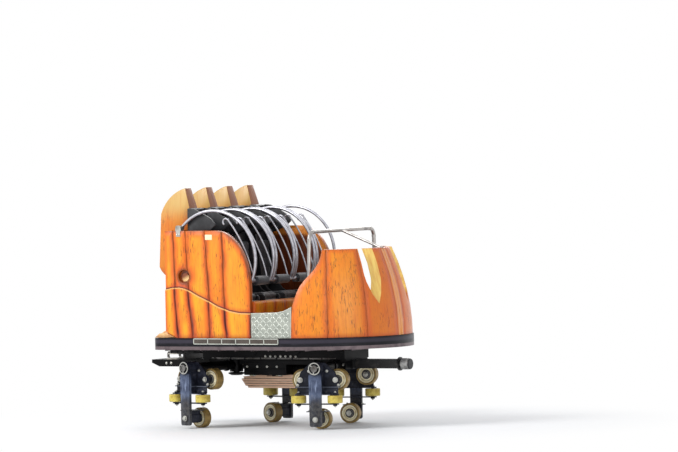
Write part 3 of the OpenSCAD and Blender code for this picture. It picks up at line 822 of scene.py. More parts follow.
@dataclass(frozen=True)
class BareMetal:
    """Brushed, cast or plated metal with fine lines and clouded dullness."""

    name: str
    colour: Colour
    dull: Colour
    roughness: float = 0.32
    lines: Triple = (6.0, 6.0, 240.0)
    metallic: float = 0.9
    pitted: float = 0.00005

    def build(self) -> Material:
        """Builds the finish.

        Returns:
            The finished material.
        """
        g = Graph(self.name)
        x, y, z = g.split("Object")
        brushed = g.grain(x * self.lines[0], y * self.lines[1], z * self.lines[2], 1.0, 4.0, 0.6)
        cloud = g.grain(x, y, z, 11.0, 5.0, 0.6)
        specks = g.grain(x, y, z, 170.0, 3.0)
        g.set("Base Color", g.mix(cloud.spread(0.42, 0.74), self.colour, self.dull))
        g.set("Metallic", self.metallic)
        g.set("Roughness", brushed * 0.14 + cloud * 0.16 + (self.roughness - 0.15))
        g.raise_by(brushed, 0.00008)
        g.raise_by(specks, self.pitted)
        return g.done()


@dataclass(frozen=True)
class Rubber:
    """Dark bumper rubber with a bloom, scuffs and a painted reflection in a band across its belly.
    """

    name: str
    colour: Colour = paint(16, 15, 22)
    bloom: Colour = paint(48, 45, 55)
    belly_sheen: float = 0.852
    band: float = 0.026
    pale: Colour = paint(62, 58, 70)

    def build(self) -> Material:
        """Builds the finish.

        Returns:
            The finished material.
        """
        g = Graph(self.name)
        x, y, z = g.split("Object")
        cloud = g.grain(x, y, z * 5.0, 8.0, 5.0, 0.65)
        scuff = g.grain(x * 10.0, y * 10.0, z * 160.0, 1.0, 5.0, 0.7)
        fine = g.grain(x, y, z, 600.0, 2.0)
        marks = cloud.spread(0.46, 0.72) * 0.5 + scuff.spread(0.55, 0.75) * 0.35
        # A painted reflection: a paler band across the skirt's rounded belly.
        belly_sheen = (z - self.belly_sheen).size().spread(self.band, self.band * 0.3)
        base = g.mix(belly_sheen * 0.7, self.colour, self.pale)
        g.set("Base Color", g.mix(marks, base, self.bloom))
        g.set("Specular IOR Level", 0.22)
        g.set("Roughness", marks * 0.25 + 0.33)
        g.raise_by(fine, 0.0001)
        g.raise_by(scuff, 0.0003)
        return g.done()


@dataclass(frozen=True)
class Moulding:
    """Black moulded seat plastic with a leather-like grain."""

    name: str
    colour: Colour = paint(30, 31, 34)
    worn: Colour = paint(66, 68, 72)

    def build(self) -> Material:
        """Builds the finish.

        Returns:
            The finished material.
        """
        g = Graph(self.name)
        x, y, z = g.split("Object")
        cloud = g.grain(x, y, z, 7.0, 4.0)
        cells = g.tree.nodes.new("ShaderNodeTexVoronoi")
        cells.inputs["Scale"].default_value = 330.0
        g.tree.links.new(g.coordinates.outputs["Object"], cells.inputs["Vector"])
        pebble = Wire(g.tree, cells.outputs["Distance"])
        g.set("Base Color", g.mix(cloud.spread(0.45, 0.75) * 0.6, self.colour, self.worn))
        g.set("Roughness", cloud * 0.2 + 0.34)
        g.raise_by(pebble, 0.00022)
        g.raise_by(cloud, 0.0006)
        return g.done()


@dataclass(frozen=True)
class PadSkin:
    """Soft coated cover of a seat pad, with a fine weave and creases."""

    name: str
    colour: Colour = paint(38, 39, 43)
    pale: Colour = paint(80, 82, 88)

    def build(self) -> Material:
        """Builds the finish.

        Returns:
            The finished material.
        """
        g = Graph(self.name)
        x, y, z = g.split("Object")
        crease = g.grain(x, y, z, 22.0, 6.0, 0.6)
        threads = ((x + z) * 2600.0).math("SINE") * (y * 2600.0).math("SINE")
        soft = g.grain(x, y, z, 5.0, 3.0)
        g.set("Base Color", g.mix(crease.spread(0.42, 0.72) * 0.7, self.colour, self.pale))
        g.set("Roughness", soft * 0.25 + 0.42)
        g.set("Sheen Weight", 0.25)
        g.set("Sheen Roughness", 0.45)
        g.raise_by(threads, 0.00008)
        g.raise_by(crease, 0.0010)
        return g.done()


@dataclass(frozen=True)
class Laminate:
    """Copper-brown pressed leaves of the drive skid, rubbed bright in places."""

    copper: Blend = (paint(250, 212, 182), paint(196, 142, 112))
    joint: Colour = paint(62, 36, 28)
    rubbed: Colour = paint(238, 206, 182)
    joints: Numbers = (0.386, 0.410, 0.432, 0.456)

    def build(self) -> Material:
        """Builds the finish.

        Returns:
            The finished material.
        """
        g = Graph("skid_laminate")
        x, y, z = g.split("Object")
        streak = g.grain(x * 5.0, y * 8.0, z * 420.0, 1.0, 6.0, 0.65)
        cloud = g.grain(x, y, z * 3.0, 12.0, 5.0)
        base = g.mix(streak.spread(0.40, 0.72), *self.copper)
        for height in self.joints:
            base = g.mix((z - height).size().spread(0.0035, 0.0015), base, self.joint)
        g.set("Base Color", g.mix(cloud.spread(0.5, 0.75) * 0.6, base, self.rubbed))
        g.set("Metallic", 0.25)
        g.set("Roughness", cloud * 0.25 + 0.36)
        g.raise_by(streak, 0.0003)
        return g.done()


class WheelKind(Enum):
    """The three kinds of wheel, by the middle part of their names."""

    ROAD = "road"
    GUIDE = "guide"
    UPSTOP = "upstop"


@dataclass(frozen=True)
class WheelFinish:
    """Cast tread on a pale face ring round a dark hub, for one wheel."""

    kind: WheelKind
    name: str
    centre: Vector
    turn: float
    radius: float
    guide_cast: Blend = (paint(212, 192, 88), paint(184, 158, 62))
    road_cast: Blend = (paint(158, 130, 70), paint(124, 100, 54))
    band: Colour = paint(96, 78, 46)
    face: Blend = (paint(255, 246, 212), paint(222, 202, 150))
    hub: Blend = (paint(38, 38, 40), paint(84, 82, 80))
    groove: Colour = paint(70, 58, 36)
    steel: Colour = paint(120, 120, 118)
    rim_depth: float = 0.017
    groove_step: float = 0.022
    hub_radius: float = 0.046
    steel_radius: float = 0.038

    def build(self) -> Material:
        """Builds the finish about the wheel's own axle.

        Returns:
            The finished material.
        """
        g = Graph(self.name)
        along, across, up = g.local(self.centre, self.turn)
        if self.kind is WheelKind.GUIDE:
            radius = (along * along + across * across).math("SQRT")
            angle = across.math("ARCTAN2", along)
            wide, colours = up, self.guide_cast
        else:
            radius = (along * along + up * up).math("SQRT")
            angle = up.math("ARCTAN2", along)
            wide, colours = across, self.road_cast
        wear = g.grain(along, across, up, 22.0, 4.0, 0.55)
        bands = g.grain(wide * 90.0, radius * 30.0, angle * 0.4, 1.0, 3.0)
        cast = g.mix(wear.spread(0.35, 0.70), *colours)
        cast = g.mix(bands.spread(0.50, 0.80) * 0.4, cast, self.band)
        face = g.mix(wear.spread(0.4, 0.75), *self.face)
        hub = g.mix(wear.spread(0.4, 0.7), *self.hub)
        rim = self.radius - self.rim_depth
        colour = g.mix((radius - rim).spread(0.001, -0.001, smooth=False), cast, face)
        groove = (radius - (rim - 0.001)).size().spread(0.003, 0.0015)
        inner = (radius - (rim - self.groove_step)).size().spread(0.0025, 0.001)
        groove = groove.most(inner * 0.6)
        colour = g.mix(groove, colour, self.groove)
        within = (radius - self.hub_radius).spread(0.001, -0.001, smooth=False)
        colour = g.mix(within, colour, hub)
        steel = (radius - self.steel_radius).spread(0.001, -0.001, smooth=False)
        g.set("Base Color", g.mix(steel, colour, self.steel))
        g.set("Roughness", wear * 0.3 + 0.32)
        g.raise_by(bands, 0.0004)
        g.raise_by(groove * -1.0, 0.0010)
        g.raise_by(wear, 0.0003)
        return g.done()


@dataclass(frozen=True)
class BracketFinish:
    """Zinc on the outer end of the rear bracket, near-black painted shade further in."""

    shade_from: float = -1.120
    zinc: Blend = (paint(196, 192, 182), paint(120, 114, 106))
    black: Colour = paint(12, 12, 14)

    def build(self) -> Material:
        """Builds the finish.

        Returns:
            The finished material.
        """
        g = Graph("rear_bracket_finish")
        x, y, z = g.split("Object")
        cloud = g.grain(x, y, z, 26.0, 5.0, 0.65)
        # Further in, the zinc gives way to near-black painted shade.
        painted_shade = (x - self.shade_from).spread(-0.02, 0.02)
        zinc = g.mix(cloud.spread(0.35, 0.65), *self.zinc)
        g.set("Base Color", g.mix(painted_shade, zinc, self.black))
        g.set("Metallic", painted_shade.flip() * 0.7)
        g.set("Roughness", cloud * 0.3 + 0.30)
        g.raise_by(cloud, 0.0004)
        return g.done()


@dataclass(frozen=True)
class BufferFinish:
    """Bright spun steel on the front buffer, black paint behind it and a rubber face ahead."""

    bright_from: float = 1.3125
    rubber_from: float = 1.392
    steel: Blend = (paint(188, 188, 186), paint(128, 126, 124))
    black: Blend = (paint(26, 26, 28), paint(60, 58, 56))
    rubber: Colour = paint(34, 34, 36)

    def build(self) -> Material:
        """Builds the finish.

        Returns:
            The finished material.
        """
        g = Graph("front_buffer")
        x, y, z = g.split("Object")
        cloud = g.grain(x, y, z, 16.0, 5.0)
        rings = g.grain(x * 900.0, 0.0, 0.0, 1.0, 2.0)
        bright = (x - self.bright_from).spread(-0.001, 0.001, smooth=False)
        cap = (x - self.rubber_from).spread(-0.001, 0.001, smooth=False)
        steel = g.mix(cloud.spread(0.4, 0.7), *self.steel)
        body = g.mix(bright, g.mix(cloud.spread(0.5, 0.7), *self.black), steel)
        g.set("Base Color", g.mix(cap, body, self.rubber))
        g.set("Metallic", bright * cap.flip() * 0.75)
        g.set("Roughness", cloud * 0.2 + 0.30)
        g.raise_by(rings * bright, 0.00015)
        return g.done()


class Bench:
    """The workbench: what every piece needs from Blender's own tools."""

    @staticmethod
    def clear() -> None:
        """Leaves object mode ready, with nothing selected."""
        if bpy.context.object and bpy.context.object.mode != "OBJECT":
            bpy.ops.object.mode_set(mode="OBJECT")
        bpy.ops.object.select_all(action="DESELECT")

    @staticmethod
    def pick(*pieces: Piece) -> Piece:
        """Selects these pieces alone.

        Args:
            pieces: The pieces, the active one first.

        Returns:
            The active piece.
        """
        Bench.clear()
        for piece in pieces:
            piece.select_set(True)
        bpy.context.view_layer.objects.active = pieces[0]
        return pieces[0]

    @staticmethod
    def choose(piece: Piece, test: Callable[[Vector, Vector], bool]) -> int:
        """Goes into edit mode with the faces selected that pass a test.

        Args:
            piece: The piece to edit.
            test: Takes a face's middle and its normal.

        Returns:
            How many faces were selected.
        """
        Bench.pick(piece)
        bpy.ops.object.mode_set(mode="EDIT")
        bpy.ops.mesh.select_mode(type="FACE")
        bpy.ops.mesh.select_all(action="DESELECT")
        bpy.ops.object.mode_set(mode="OBJECT")
        count = 0
        for face in piece.data.polygons:
            face.select = test(face.center, face.normal)
            count += face.select
        bpy.ops.object.mode_set(mode="EDIT")
        return count

    @staticmethod
    def cylinder(radius: float, depth: float, sides: int = 24) -> Piece:
        """Adds an upright cylinder that stands on z = 0.

        Args:
            radius: Its radius.
            depth: Its height.
            sides: How many faces it has around.

        Returns:
            The cylinder.
        """
        Bench.clear()
        bpy.ops.mesh.primitive_cylinder_add(
            vertices=sides, radius=radius, depth=depth, location=(0, 0, depth / 2)
        )
        return Bench.settle(bpy.context.object)

    @staticmethod
    def block(low: Sequence[float], high: Sequence[float]) -> Piece:
        """Adds a block between two corners.

        Args:
            low: The low corner.
            high: The high corner.

        Returns:
            The block.
        """
        Bench.clear()
        middle = [(a + b) / 2 for a, b in zip(low, high)]
        bpy.ops.mesh.primitive_cube_add(size=1, location=middle)
        bpy.context.object.scale = [b - a for a, b in zip(low, high)]
        return Bench.settle(bpy.context.object)

    @staticmethod
    def settle(piece: Piece) -> Piece:
        """Applies a piece's place, turn and scale to its mesh.

        Args:
            piece: The piece.

        Returns:
            The piece, at the origin.
        """
        Bench.pick(piece)
        bpy.ops.object.transform_apply(location=True, rotation=True, scale=True)
        return piece

    @staticmethod
    def bevel(piece: Piece, width: float, segments: int = 2, angle: float = 0.6) -> Piece:
        """Rounds a piece's edges.

        Args:
            piece: The piece.
            width: The rounding's width in metres.
            segments: Its steps.
            angle: Edges that turn by more than this are rounded, in radians.

        Returns:
            The piece.
        """
        Bench.pick(piece)
        modifier = piece.modifiers.new("edge", "BEVEL")
        modifier.width = width
        modifier.segments = segments
        modifier.limit_method = "ANGLE"
        modifier.angle_limit = angle
        bpy.ops.object.modifier_apply(modifier=modifier.name)
        return piece

    @staticmethod
    def join(pieces: Sequence[Piece]) -> Piece:
        """Makes one piece of several.

        Args:
            pieces: The pieces.

        Returns:
            The joined piece.
        """
        if len(pieces) == 1:
            return pieces[0]
        Bench.pick(*pieces)
        bpy.ops.object.join()
        return bpy.context.object

    @staticmethod
    def twin(piece: Piece, place: Matrix) -> Piece:
        """Copies a piece, with a mesh of its own, to a place.

        Args:
            piece: The piece to copy.
            place: Where the copy goes.

        Returns:
            The copy.
        """
        copy = piece.copy()
        copy.data = piece.data.copy()
        copy.data.transform(place)
        bpy.context.scene.collection.objects.link(copy)
        return copy

    @staticmethod
    def repeat(template: Piece, places: Iterable[Matrix]) -> Piece:
        """Copies a piece to many places, each with its own mesh, and joins them.

        Args:
            template: The piece to copy, which is removed.
            places: Where each copy goes.

        Returns:
            The joined copies.
        """
        made = [Bench.twin(template, place) for place in places]
        bpy.data.objects.remove(template)
        return Bench.join(made)

    @staticmethod
    def tube(points: Sequence[Sequence[float]], radius: float, sides: int = 4) -> Piece:
        """Runs a round tube through points.

        Args:
            points: The places it goes through, in metres.
            radius: The tube's radius.
            sides: Its roundness, the more the rounder.

        Returns:
            The tube as a mesh.
        """
        Bench.clear()
        bpy.ops.curve.primitive_bezier_curve_add(radius=1.0, location=(0, 0, 0))
        piece = bpy.context.object
        curve = piece.data
        curve.splines.clear()
        spline = curve.splines.new("POLY")
        spline.points.add(len(points) - 1)
        for point, place in zip(spline.points, points):
            point.co = (*place, 1.0)
        curve.dimensions = "3D"
        curve.bevel_depth = radius
        curve.bevel_resolution = sides
        curve.use_fill_caps = True
        bpy.ops.object.convert(target="MESH")
        return bpy.context.object

    @staticmethod
    def copy_of(node: str) -> Piece:
        """Copies a CAD node's mesh, its loose triangles merged into whole faces.

        Args:
            node: The node to copy.

        Returns:
            The copy, a piece of its own.
        """
        piece = bpy.data.objects.new(f"{node}_copy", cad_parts[node].data.copy())
        bpy.context.scene.collection.objects.link(piece)
        Bench.pick(piece)
        bpy.ops.mesh.customdata_custom_splitnormals_clear()
        bpy.ops.object.mode_set(mode="EDIT")
        bpy.ops.mesh.select_all(action="SELECT")
        bpy.ops.mesh.remove_doubles(threshold=0.0001)
        bpy.ops.mesh.dissolve_limited(angle_limit=math.radians(0.7))
        bpy.ops.object.mode_set(mode="OBJECT")
        return piece

    @staticmethod
    def reach(piece: Piece) -> tuple[Vector, Vector]:
        """Gives the low and the high corner of a piece's mesh.

        Args:
            piece: The piece.

        Returns:
            Both corners.
        """
        places = [vertex.co for vertex in piece.data.vertices]
        return (
            Vector([min(place[i] for place in places) for i in range(3)]),
            Vector([max(place[i] for place in places) for i in range(3)]),
        )

    @staticmethod
    def seam(piece: Piece, place: Vector, normal: Vector, radius: float) -> Piece:
        """Runs a piping along the line where a plane meets a piece.

        Args:
            piece: The piece.
            place: A point on the plane.
            normal: The plane's normal.
            radius: The piping's radius.

        Returns:
            The piping.
        """
        line = bpy.data.objects.new(f"{piece.name}_seam", piece.data.copy())
        bpy.context.scene.collection.objects.link(line)
        Bench.pick(line)
        bpy.ops.object.mode_set(mode="EDIT")
        bpy.ops.mesh.select_all(action="SELECT")
        bpy.ops.mesh.bisect(plane_co=place, plane_no=normal, clear_inner=True, clear_outer=True)
        bpy.ops.object.mode_set(mode="OBJECT")
        bpy.ops.object.convert(target="CURVE")
        line = bpy.context.object
        line.data.bevel_depth = radius
        line.data.bevel_resolution = 1
        bpy.ops.object.convert(target="MESH")
        return bpy.context.object

    @staticmethod
    def finish(
        piece: Piece, name: str, body: str, material: Material, slot: str, angle: float = 0.6
    ) -> Piece:
        """Names, smooths and dresses a piece, and hangs it on its body.

        Args:
            piece: The piece, in place.
            name: Its name.
            body: The CAD body that it rides on.
            material: Its finish.
            slot: Not used.
            angle: Edges under this angle shade smoothly, in radians.

        Returns:
            The piece.
        """
        Bench.settle(piece)
        bpy.ops.object.shade_smooth_by_angle(angle=angle)
        piece.name = name
        piece.data.materials.clear()
        piece.data.materials.append(material)
        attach(piece, body)
        LOG.info("piece %s: %d faces on %s", name, len(piece.data.polygons), body)
        return piece


def facing(place: Sequence[float], direction: Sequence[float], spin: float = 0.0) -> Matrix:
    """Gives the matrix that sets a piece made along +Z at a place, pointing in a direction.

    Args:
        place: Where its foot goes.
        direction: Where its +Z points.
        spin: A turn about its own axis, in radians.

    Returns:
        The matrix.
    """
    turn = Vector(direction).to_track_quat("Z", "Y").to_matrix().to_4x4()
    return Matrix.Translation(Vector(place)) @ turn @ Matrix.Rotation(spin, 4, "Z")


@dataclass
class Fastener:
    """A hexagon bolt head or nut on a washer."""

    across: float = 0.030
    height: float = 0.012
    washer: float = 0.020

    def make(self) -> Piece:
        """Models one, standing on z = 0.

        Returns:
            The fastener.
        """
        head = Bench.cylinder(self.across / 2, self.height, 6)
        head.data.transform(Matrix.Translation((0, 0, 0.002)))
        Bench.choose(head, lambda middle, normal: normal.z > 0.9)
        bpy.ops.mesh.inset(thickness=self.across * 0.09, depth=0)
        bpy.ops.transform.translate(value=(0, 0, self.height * 0.12))
        bpy.ops.object.mode_set(mode="OBJECT")
        plate = Bench.bevel(Bench.cylinder(self.washer, 0.0025, 20), 0.0006, 1)
        stud = Bench.bevel(Bench.cylinder(self.across * 0.27, self.height + 0.006, 12), 0.0012, 1)
        return Bench.join([head, plate, stud])

    def scatter(self, places: Iterable[Matrix]) -> Piece:
        """Models one and sets copies of it at these places."""
        return Bench.repeat(self.make(), places)


class Shelf:
    """The finishes, each built once."""

    def __init__(self) -> None:
        """Builds the finishes that several pieces share."""
        even = (60.0, 60.0, 60.0)
        # Black paint, darkened further as painted shade under the deck.
        self.black = Enamel(
            "chassis_black", paint(6, 6, 8), paint(38, 35, 35), dust=0.05, shine=0.14
        ).build()
        self.zinc = BareMetal(
            "zinc_plate", paint(196, 196, 190), paint(140, 138, 132), 0.36, (90.0, 90.0, 90.0)
        ).build()
        self.deck = BareMetal(
            "deck_rim", paint(116, 103, 106), paint(90, 79, 83), 0.36, (2.0, 2.0, 300.0), 0.75
        ).build()
        self.ring = BareMetal("turned_ring", paint(130, 128, 126), paint(84, 80, 76), 0.30).build()
        self.tread = BareMetal(
            "tread_plate", paint(176, 180, 170), paint(136, 142, 134), 0.34, even, 0.6
        ).build()
        self.lozenge = BareMetal(
            "tread_lozenge", paint(214, 218, 208), paint(184, 188, 178), 0.30, even, 0.5
        ).build()
        self.step = BareMetal(
            "step_plate", paint(92, 84, 78), paint(66, 60, 56), 0.36, even, 0.6
        ).build()
        self.cream = Enamel(
            "cream_enamel", paint(250, 232, 190), paint(222, 196, 150), dust=0.1
        ).build()
        self.chrome = BareMetal(
            "hoop_chrome",
            paint(190, 190, 197),
            paint(152, 152, 160),
            0.36,
            (4.0, 4.0, 4.0),
            0.85,
            0.00001,
        ).build()
        self.rail = BareMetal(
            "rail_steel",
            paint(186, 182, 178),
            paint(138, 134, 132),
            0.32,
            (8.0, 8.0, 8.0),
            0.8,
            0.00001,
        ).build()
        self.skirt = Rubber("skirt_rubber").build()
        self.seat = Moulding("seat_moulding").build()
        self.pad = PadSkin("pad_skin").build()
        self.skid = Laminate().build()
        self.stump = StumpWood().build()
        self.buffer = BufferFinish().build()
        self.boards = {layout: PlankPaint(layout).build() for layout in Layout}


@dataclass
class Section:
    """A part of the car that takes its finishes from the shelf."""

    shelf: Shelf

    @property
    def body(self) -> str:
        """The CAD body that the section's own pieces ride on."""
        return "cabin"

    def dress(self, node: str, material: Material) -> None:
        """Gives a CAD node its finish.

        Args:
            node: The node's name.
            material: The finish.
        """
        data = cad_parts[node].data
        data.materials.clear()
        data.materials.append(material)
        LOG.info("finish %s: %s", node, material.name)

    def add(
        self, piece: Piece, name: str, material: Material, slot: str, angle: float = 0.6
    ) -> Piece:
        """Finishes a piece that rides on the section's body."""
        return Bench.finish(piece, name, self.body, material, slot, angle)


class Axle(Enum):
    """The two steered axles, by where they are along the car."""

    FRONT = 1
    REAR = -1


@dataclass
class Bogie(Section):
    """One corner's wheel carrier: its nuts, hub rings and finishes."""

    axle: Axle
    side: int
    axle_x: float = 0.560
    rest_turn: float = 14.0
    rail_y: float = 0.490
    road_z: float = 0.475
    road_dx: float = 0.176
    road_r: float = 0.103
    guide_y: float = 0.645
    guide_z: float = 0.292
    guide_dx: float = 0.182
    guide_r: float = 0.073
    stop_z: float = 0.098
    beam_z: float = 0.587
    plate_out: float = 0.600
    arm_out: float = 0.710
    hub_half: float = 0.045
    stop_half: float = 0.042
    guide_nut_z: tuple[float, float] = (0.3555, 0.2285)
    stop_bolt: Triple = (0.078, 0.640, 0.178)
    plate_bolts: Pairs = ((-0.090, 0.560), (0.090, 0.560), (-0.205, 0.425), (0.205, 0.425))
    pin_nut: Triple = (0.040, 0.014, 0.027)
    plate_bolt: Triple = (0.022, 0.008, 0.015)
    nut_size: tuple[float, float] = (0.034, 0.016)
    nut_wall: float = 0.012
    ring_size: tuple[float, float] = (0.0595, 0.006)
    ring_wall: float = 0.009
    lug: tuple[Triple, Triple] = ((0.030, -0.006, 0.0), (0.0475, 0.006, 0.007))
    lug_turns: tuple[int, ...] = (20, 140, 260)

    @property
    def label(self) -> str:
        """The start of this corner's node names."""
        return f"{self.axle.name.lower()}_{'near' if self.side < 0 else 'far'}"

    @property
    def body(self) -> str:
        """The body of the axle that this corner's pieces ride on."""
        return f"{self.axle.name.lower()}_axle"

    @property
    def turn(self) -> float:
        """The angle that the axle stands at, in radians."""
        return math.radians(self.axle.value * self.rest_turn)

    def spot(self, along: float, out: float, up: float) -> Vector:
        """Turns a place on the bogie into one on the car."""
        place = Matrix.Rotation(self.turn, 4, "Z") @ Vector((along, out * self.side, up))
        return place + Vector((self.axle.value * self.axle_x, 0, 0))

    def outward(self, sign: float = 1.0) -> Vector:
        """Gives the direction away from the car's middle."""
        return Matrix.Rotation(self.turn, 4, "Z") @ Vector((0, self.side * sign, 0))

    def dress_wheels(self) -> None:
        """Gives each of the five wheels its finish about its own axle."""
        for end, sign in (("fore", 1), ("aft", -1)):
            road = self.spot(sign * self.road_dx, self.rail_y, self.road_z)
            self.dress_wheel(f"road_wheel_{end}", WheelKind.ROAD, road, self.road_r)
            guide = self.spot(sign * self.guide_dx, self.guide_y, self.guide_z)
            self.dress_wheel(f"guide_wheel_{end}", WheelKind.GUIDE, guide, self.guide_r)
        stop = self.spot(0, self.rail_y, self.stop_z)
        self.dress_wheel("upstop_wheel", WheelKind.UPSTOP, stop, self.stop_z)

    def dress_wheel(self, name: str, kind: WheelKind, centre: Vector, radius: float) -> None:
        """Gives one wheel its finish."""
        node = f"{self.label}_{name}"
        self.dress(node, WheelFinish(kind, f"{node}_cast", centre, self.turn, radius).build())

    def fasten(self) -> None:
        """Sets the nuts and washers of this corner."""
        out, inner = self.outward(), self.outward(-1.0)
        pins = [(x, self.road_z, self.hub_half) for x in (-self.road_dx, self.road_dx)]
        pins.append((0, self.stop_z, self.stop_half))
        big = [facing(self.spot(x, self.plate_out + 0.009, z), out, 0.3) for x, z, _ in pins[:2]]
        big.append(facing(self.spot(0, self.arm_out + 0.008, self.stop_z), out, 0.2))
        for x, z, half in pins:
            big.append(facing(self.spot(x, self.rail_y - half - 0.018, z), inner, 0.1))
        self.keep(Fastener(*self.pin_nut).scatter(big), "pin_nuts", self.shelf.zinc)
        small = []
        for x in (-self.guide_dx, self.guide_dx):
            for z, way in zip(self.guide_nut_z, (UP, DOWN)):
                small.append(facing(self.spot(x, self.guide_y, z), way, x))
        x, y, z = self.stop_bolt
        small += [facing(self.spot(side * x, y, z), UP) for side in SIDES]
        small += [facing(self.spot(x, self.plate_out, z), out, x) for x, z in self.plate_bolts]
        self.keep(Fastener(*self.plate_bolt).scatter(small), "plate_bolts", self.shelf.zinc)

    def ring_hub(self) -> None:
        """Models the slotted nut and the lock ring on the end of the axle."""
        nut = Bench.cylinder(*self.nut_size, 12)
        Bench.choose(nut, lambda middle, normal: normal.z > 0.9)
        bpy.ops.mesh.inset(thickness=self.nut_wall, depth=0)
        bpy.ops.mesh.extrude_region_move(TRANSFORM_OT_translate={"value": (0, 0, -0.008)})
        bpy.ops.object.mode_set(mode="OBJECT")
        Bench.bevel(nut, 0.0015, 2)
        ring = Bench.cylinder(*self.ring_size, 40)
        Bench.choose(ring, lambda middle, normal: abs(normal.z) > 0.9)
        bpy.ops.mesh.delete(type="FACE")
        bpy.ops.object.mode_set(mode="OBJECT")
        wall = ring.modifiers.new("wall", "SOLIDIFY")
        wall.thickness = self.ring_wall
        wall.offset = -1
        Bench.pick(ring)
        bpy.ops.object.modifier_apply(modifier=wall.name)
        Bench.bevel(ring, 0.001, 2)
        ring.data.transform(Matrix.Translation((0, 0, 0.002)))
        lugs = Bench.repeat(
            Bench.bevel(Bench.block(*self.lug), 0.001, 1),
            [Matrix.Rotation(math.radians(turn), 4, "Z") for turn in self.lug_turns],
        )
        place = facing(self.spot(0, self.arm_out + 0.007, self.beam_z), self.outward())
        ring = Bench.join([ring, lugs])
        for piece in (nut, ring):
            piece.data.transform(place)
        self.keep(nut, "axle_nut", self.shelf.ring)
        self.keep(ring, "lock_ring", self.shelf.zinc)

    def keep(self, piece: Piece, name: str, material: Material) -> None:
        """Finishes a steel piece of this corner under the corner's name."""
        self.add(piece, f"{self.label}_{name}", material, "ring_steel")

    def build(self) -> None:
        """Makes everything at this corner."""
        middle = Vector((self.axle.value * self.axle_x, 0, 0))
        paint_name = f"{self.label}_paint"
        finish = BogiePaint(paint_name, middle, self.turn, self.side).build()
        self.dress(f"{self.label}_bogie", finish)
        self.dress_wheels()
        self.fasten()
        self.ring_hub()


@dataclass
class Stage:
    """The plain floor, the soft lights and the camera."""

    scale: float = 103.0
    distance: float = 70.0
    azimuth: float = 30.5
    elevation: float = 1.5
    roll: float = -1.2
    target: Triple = (0.470, 0.277, 1.926)
    width: int = 678
    sensor: float = 36.0
    floor_size: float = 60.0
    floor_grey: Blend = (paint(236, 236, 236), paint(230, 231, 233))
    fade: tuple[float, float] = (1.9, 4.2)
    aim: Triple = (0.0, 0.0, 1.2)
    lamps: tuple[tuple[str, Triple, float, float], ...] = (
        ("key", (-3.5, -6.5, 7.0), 620.0, 4.0),
        ("fill", (8.0, -5.0, 3.5), 120.0, 5.0),
        ("back", (-2.0, 7.0, 6.0), 300.0, 5.0),
    )
    white: Colour = (1.0, 1.0, 1.0, 1.0)
    daylight: Colour = (0.93, 0.96, 1.0, 1.0)
    daylight_strength: float = 0.62

    @staticmethod
    def sight(tree: bpy.types.NodeTree) -> Wire:
        """Tells the rays that see the background from the ones that light the car.

        Args:
            tree: The material's or the world's nodes.

        Returns:
            One for rays from the camera and for reflected or refracted ones.
        """
        ray = tree.nodes.new("ShaderNodeLightPath")
        kinds = [
            Wire(tree, ray.outputs[f"Is {kind} Ray"])
            for kind in ("Camera", "Glossy", "Transmission")
        ]
        return kinds[0].most(kinds[1]).most(kinds[2])

    def floor(self) -> None:
        """Lays a pale floor that the camera sees as white, with the car's shadow on it."""
        Bench.clear()
        bpy.ops.mesh.primitive_plane_add(size=self.floor_size, location=(0, 0, 0))
        ground = bpy.context.object
        ground.name = "floor"
        g = Graph("pale_floor")
        x, y, z = g.split("Object")
        mottle = g.grain(x, y, z, 6.0, 3.0)
        g.set("Base Color", g.mix(mottle, *self.floor_grey))
        g.set("Roughness", 0.8)
        distance = (x * x + y * y).math("SQRT")
        material = g.done()
        tree = g.tree
        glow = tree.nodes.new("ShaderNodeEmission")
        glow.inputs["Color"].default_value = self.white
        join = tree.nodes.new("ShaderNodeMixShader")
        seen = self.sight(tree) * distance.spread(*self.fade)
        tree.links.new(seen.socket, join.inputs[0])
        tree.links.new(g.shader.outputs[0], join.inputs[1])
        tree.links.new(glow.outputs[0], join.inputs[2])
        out = next(node for node in tree.nodes if node.type == "OUTPUT_MATERIAL")
        tree.links.new(join.outputs[0], out.inputs["Surface"])
        ground.data.materials.append(material)

    def lights(self) -> None:
        """Hangs a key, a fill and a back light, and sets a pale world."""
        for name, place, power, size in self.lamps:
            Bench.clear()
            bpy.ops.object.light_add(type="AREA", location=place)
            lamp = bpy.context.object
            lamp.name = name
            lamp.data.energy = power
            lamp.data.size = size
            ray = Vector(self.aim) - Vector(place)
            lamp.rotation_euler = ray.to_track_quat("-Z", "Y").to_euler()
        world = bpy.data.worlds.new("studio")
        bpy.context.scene.world = world
        world.use_nodes = True
        tree = world.node_tree
        tree.nodes.clear()
        out = tree.nodes.new("ShaderNodeOutputWorld")
        join = tree.nodes.new("ShaderNodeMixShader")
        tree.links.new(self.sight(tree).socket, join.inputs[0])
        shades = ((self.daylight, self.daylight_strength), (self.white, 1.0))
        for socket, (colour, strength) in zip(join.inputs[1:], shades):
            shade = tree.nodes.new("ShaderNodeBackground")
            shade.inputs["Color"].default_value = colour
            shade.inputs["Strength"].default_value = strength
            tree.links.new(shade.outputs[0], socket)
        tree.links.new(join.outputs[0], out.inputs["Surface"])
        bpy.context.scene.view_settings.view_transform = "Standard"

    def camera(self) -> None:
        """Stands the camera far off at the photograph's angle, a little rolled."""
        data = bpy.data.cameras.new("camera")
        data.sensor_width = self.sensor
        data.lens = self.scale * self.distance / self.width * self.sensor
        data.clip_end = 300.0
        eye = bpy.data.objects.new("camera", data)
        bpy.context.scene.collection.objects.link(eye)
        a, e = math.radians(self.azimuth), math.radians(self.elevation)
        back = Vector((math.sin(a) * math.cos(e), -math.cos(a) * math.cos(e), math.sin(e)))
        turn = back.to_track_quat("Z", "Y").to_matrix().to_4x4()
        eye.matrix_world = (
            Matrix.Translation(Vector(self.target) + back * self.distance)
            @ turn
            @ Matrix.Rotation(math.radians(self.roll), 4, "Z")
        )
        bpy.context.scene.camera = eye

    def build(self) -> None:
        """Sets the whole stage."""
        self.camera()
        self.floor()
        self.lights()


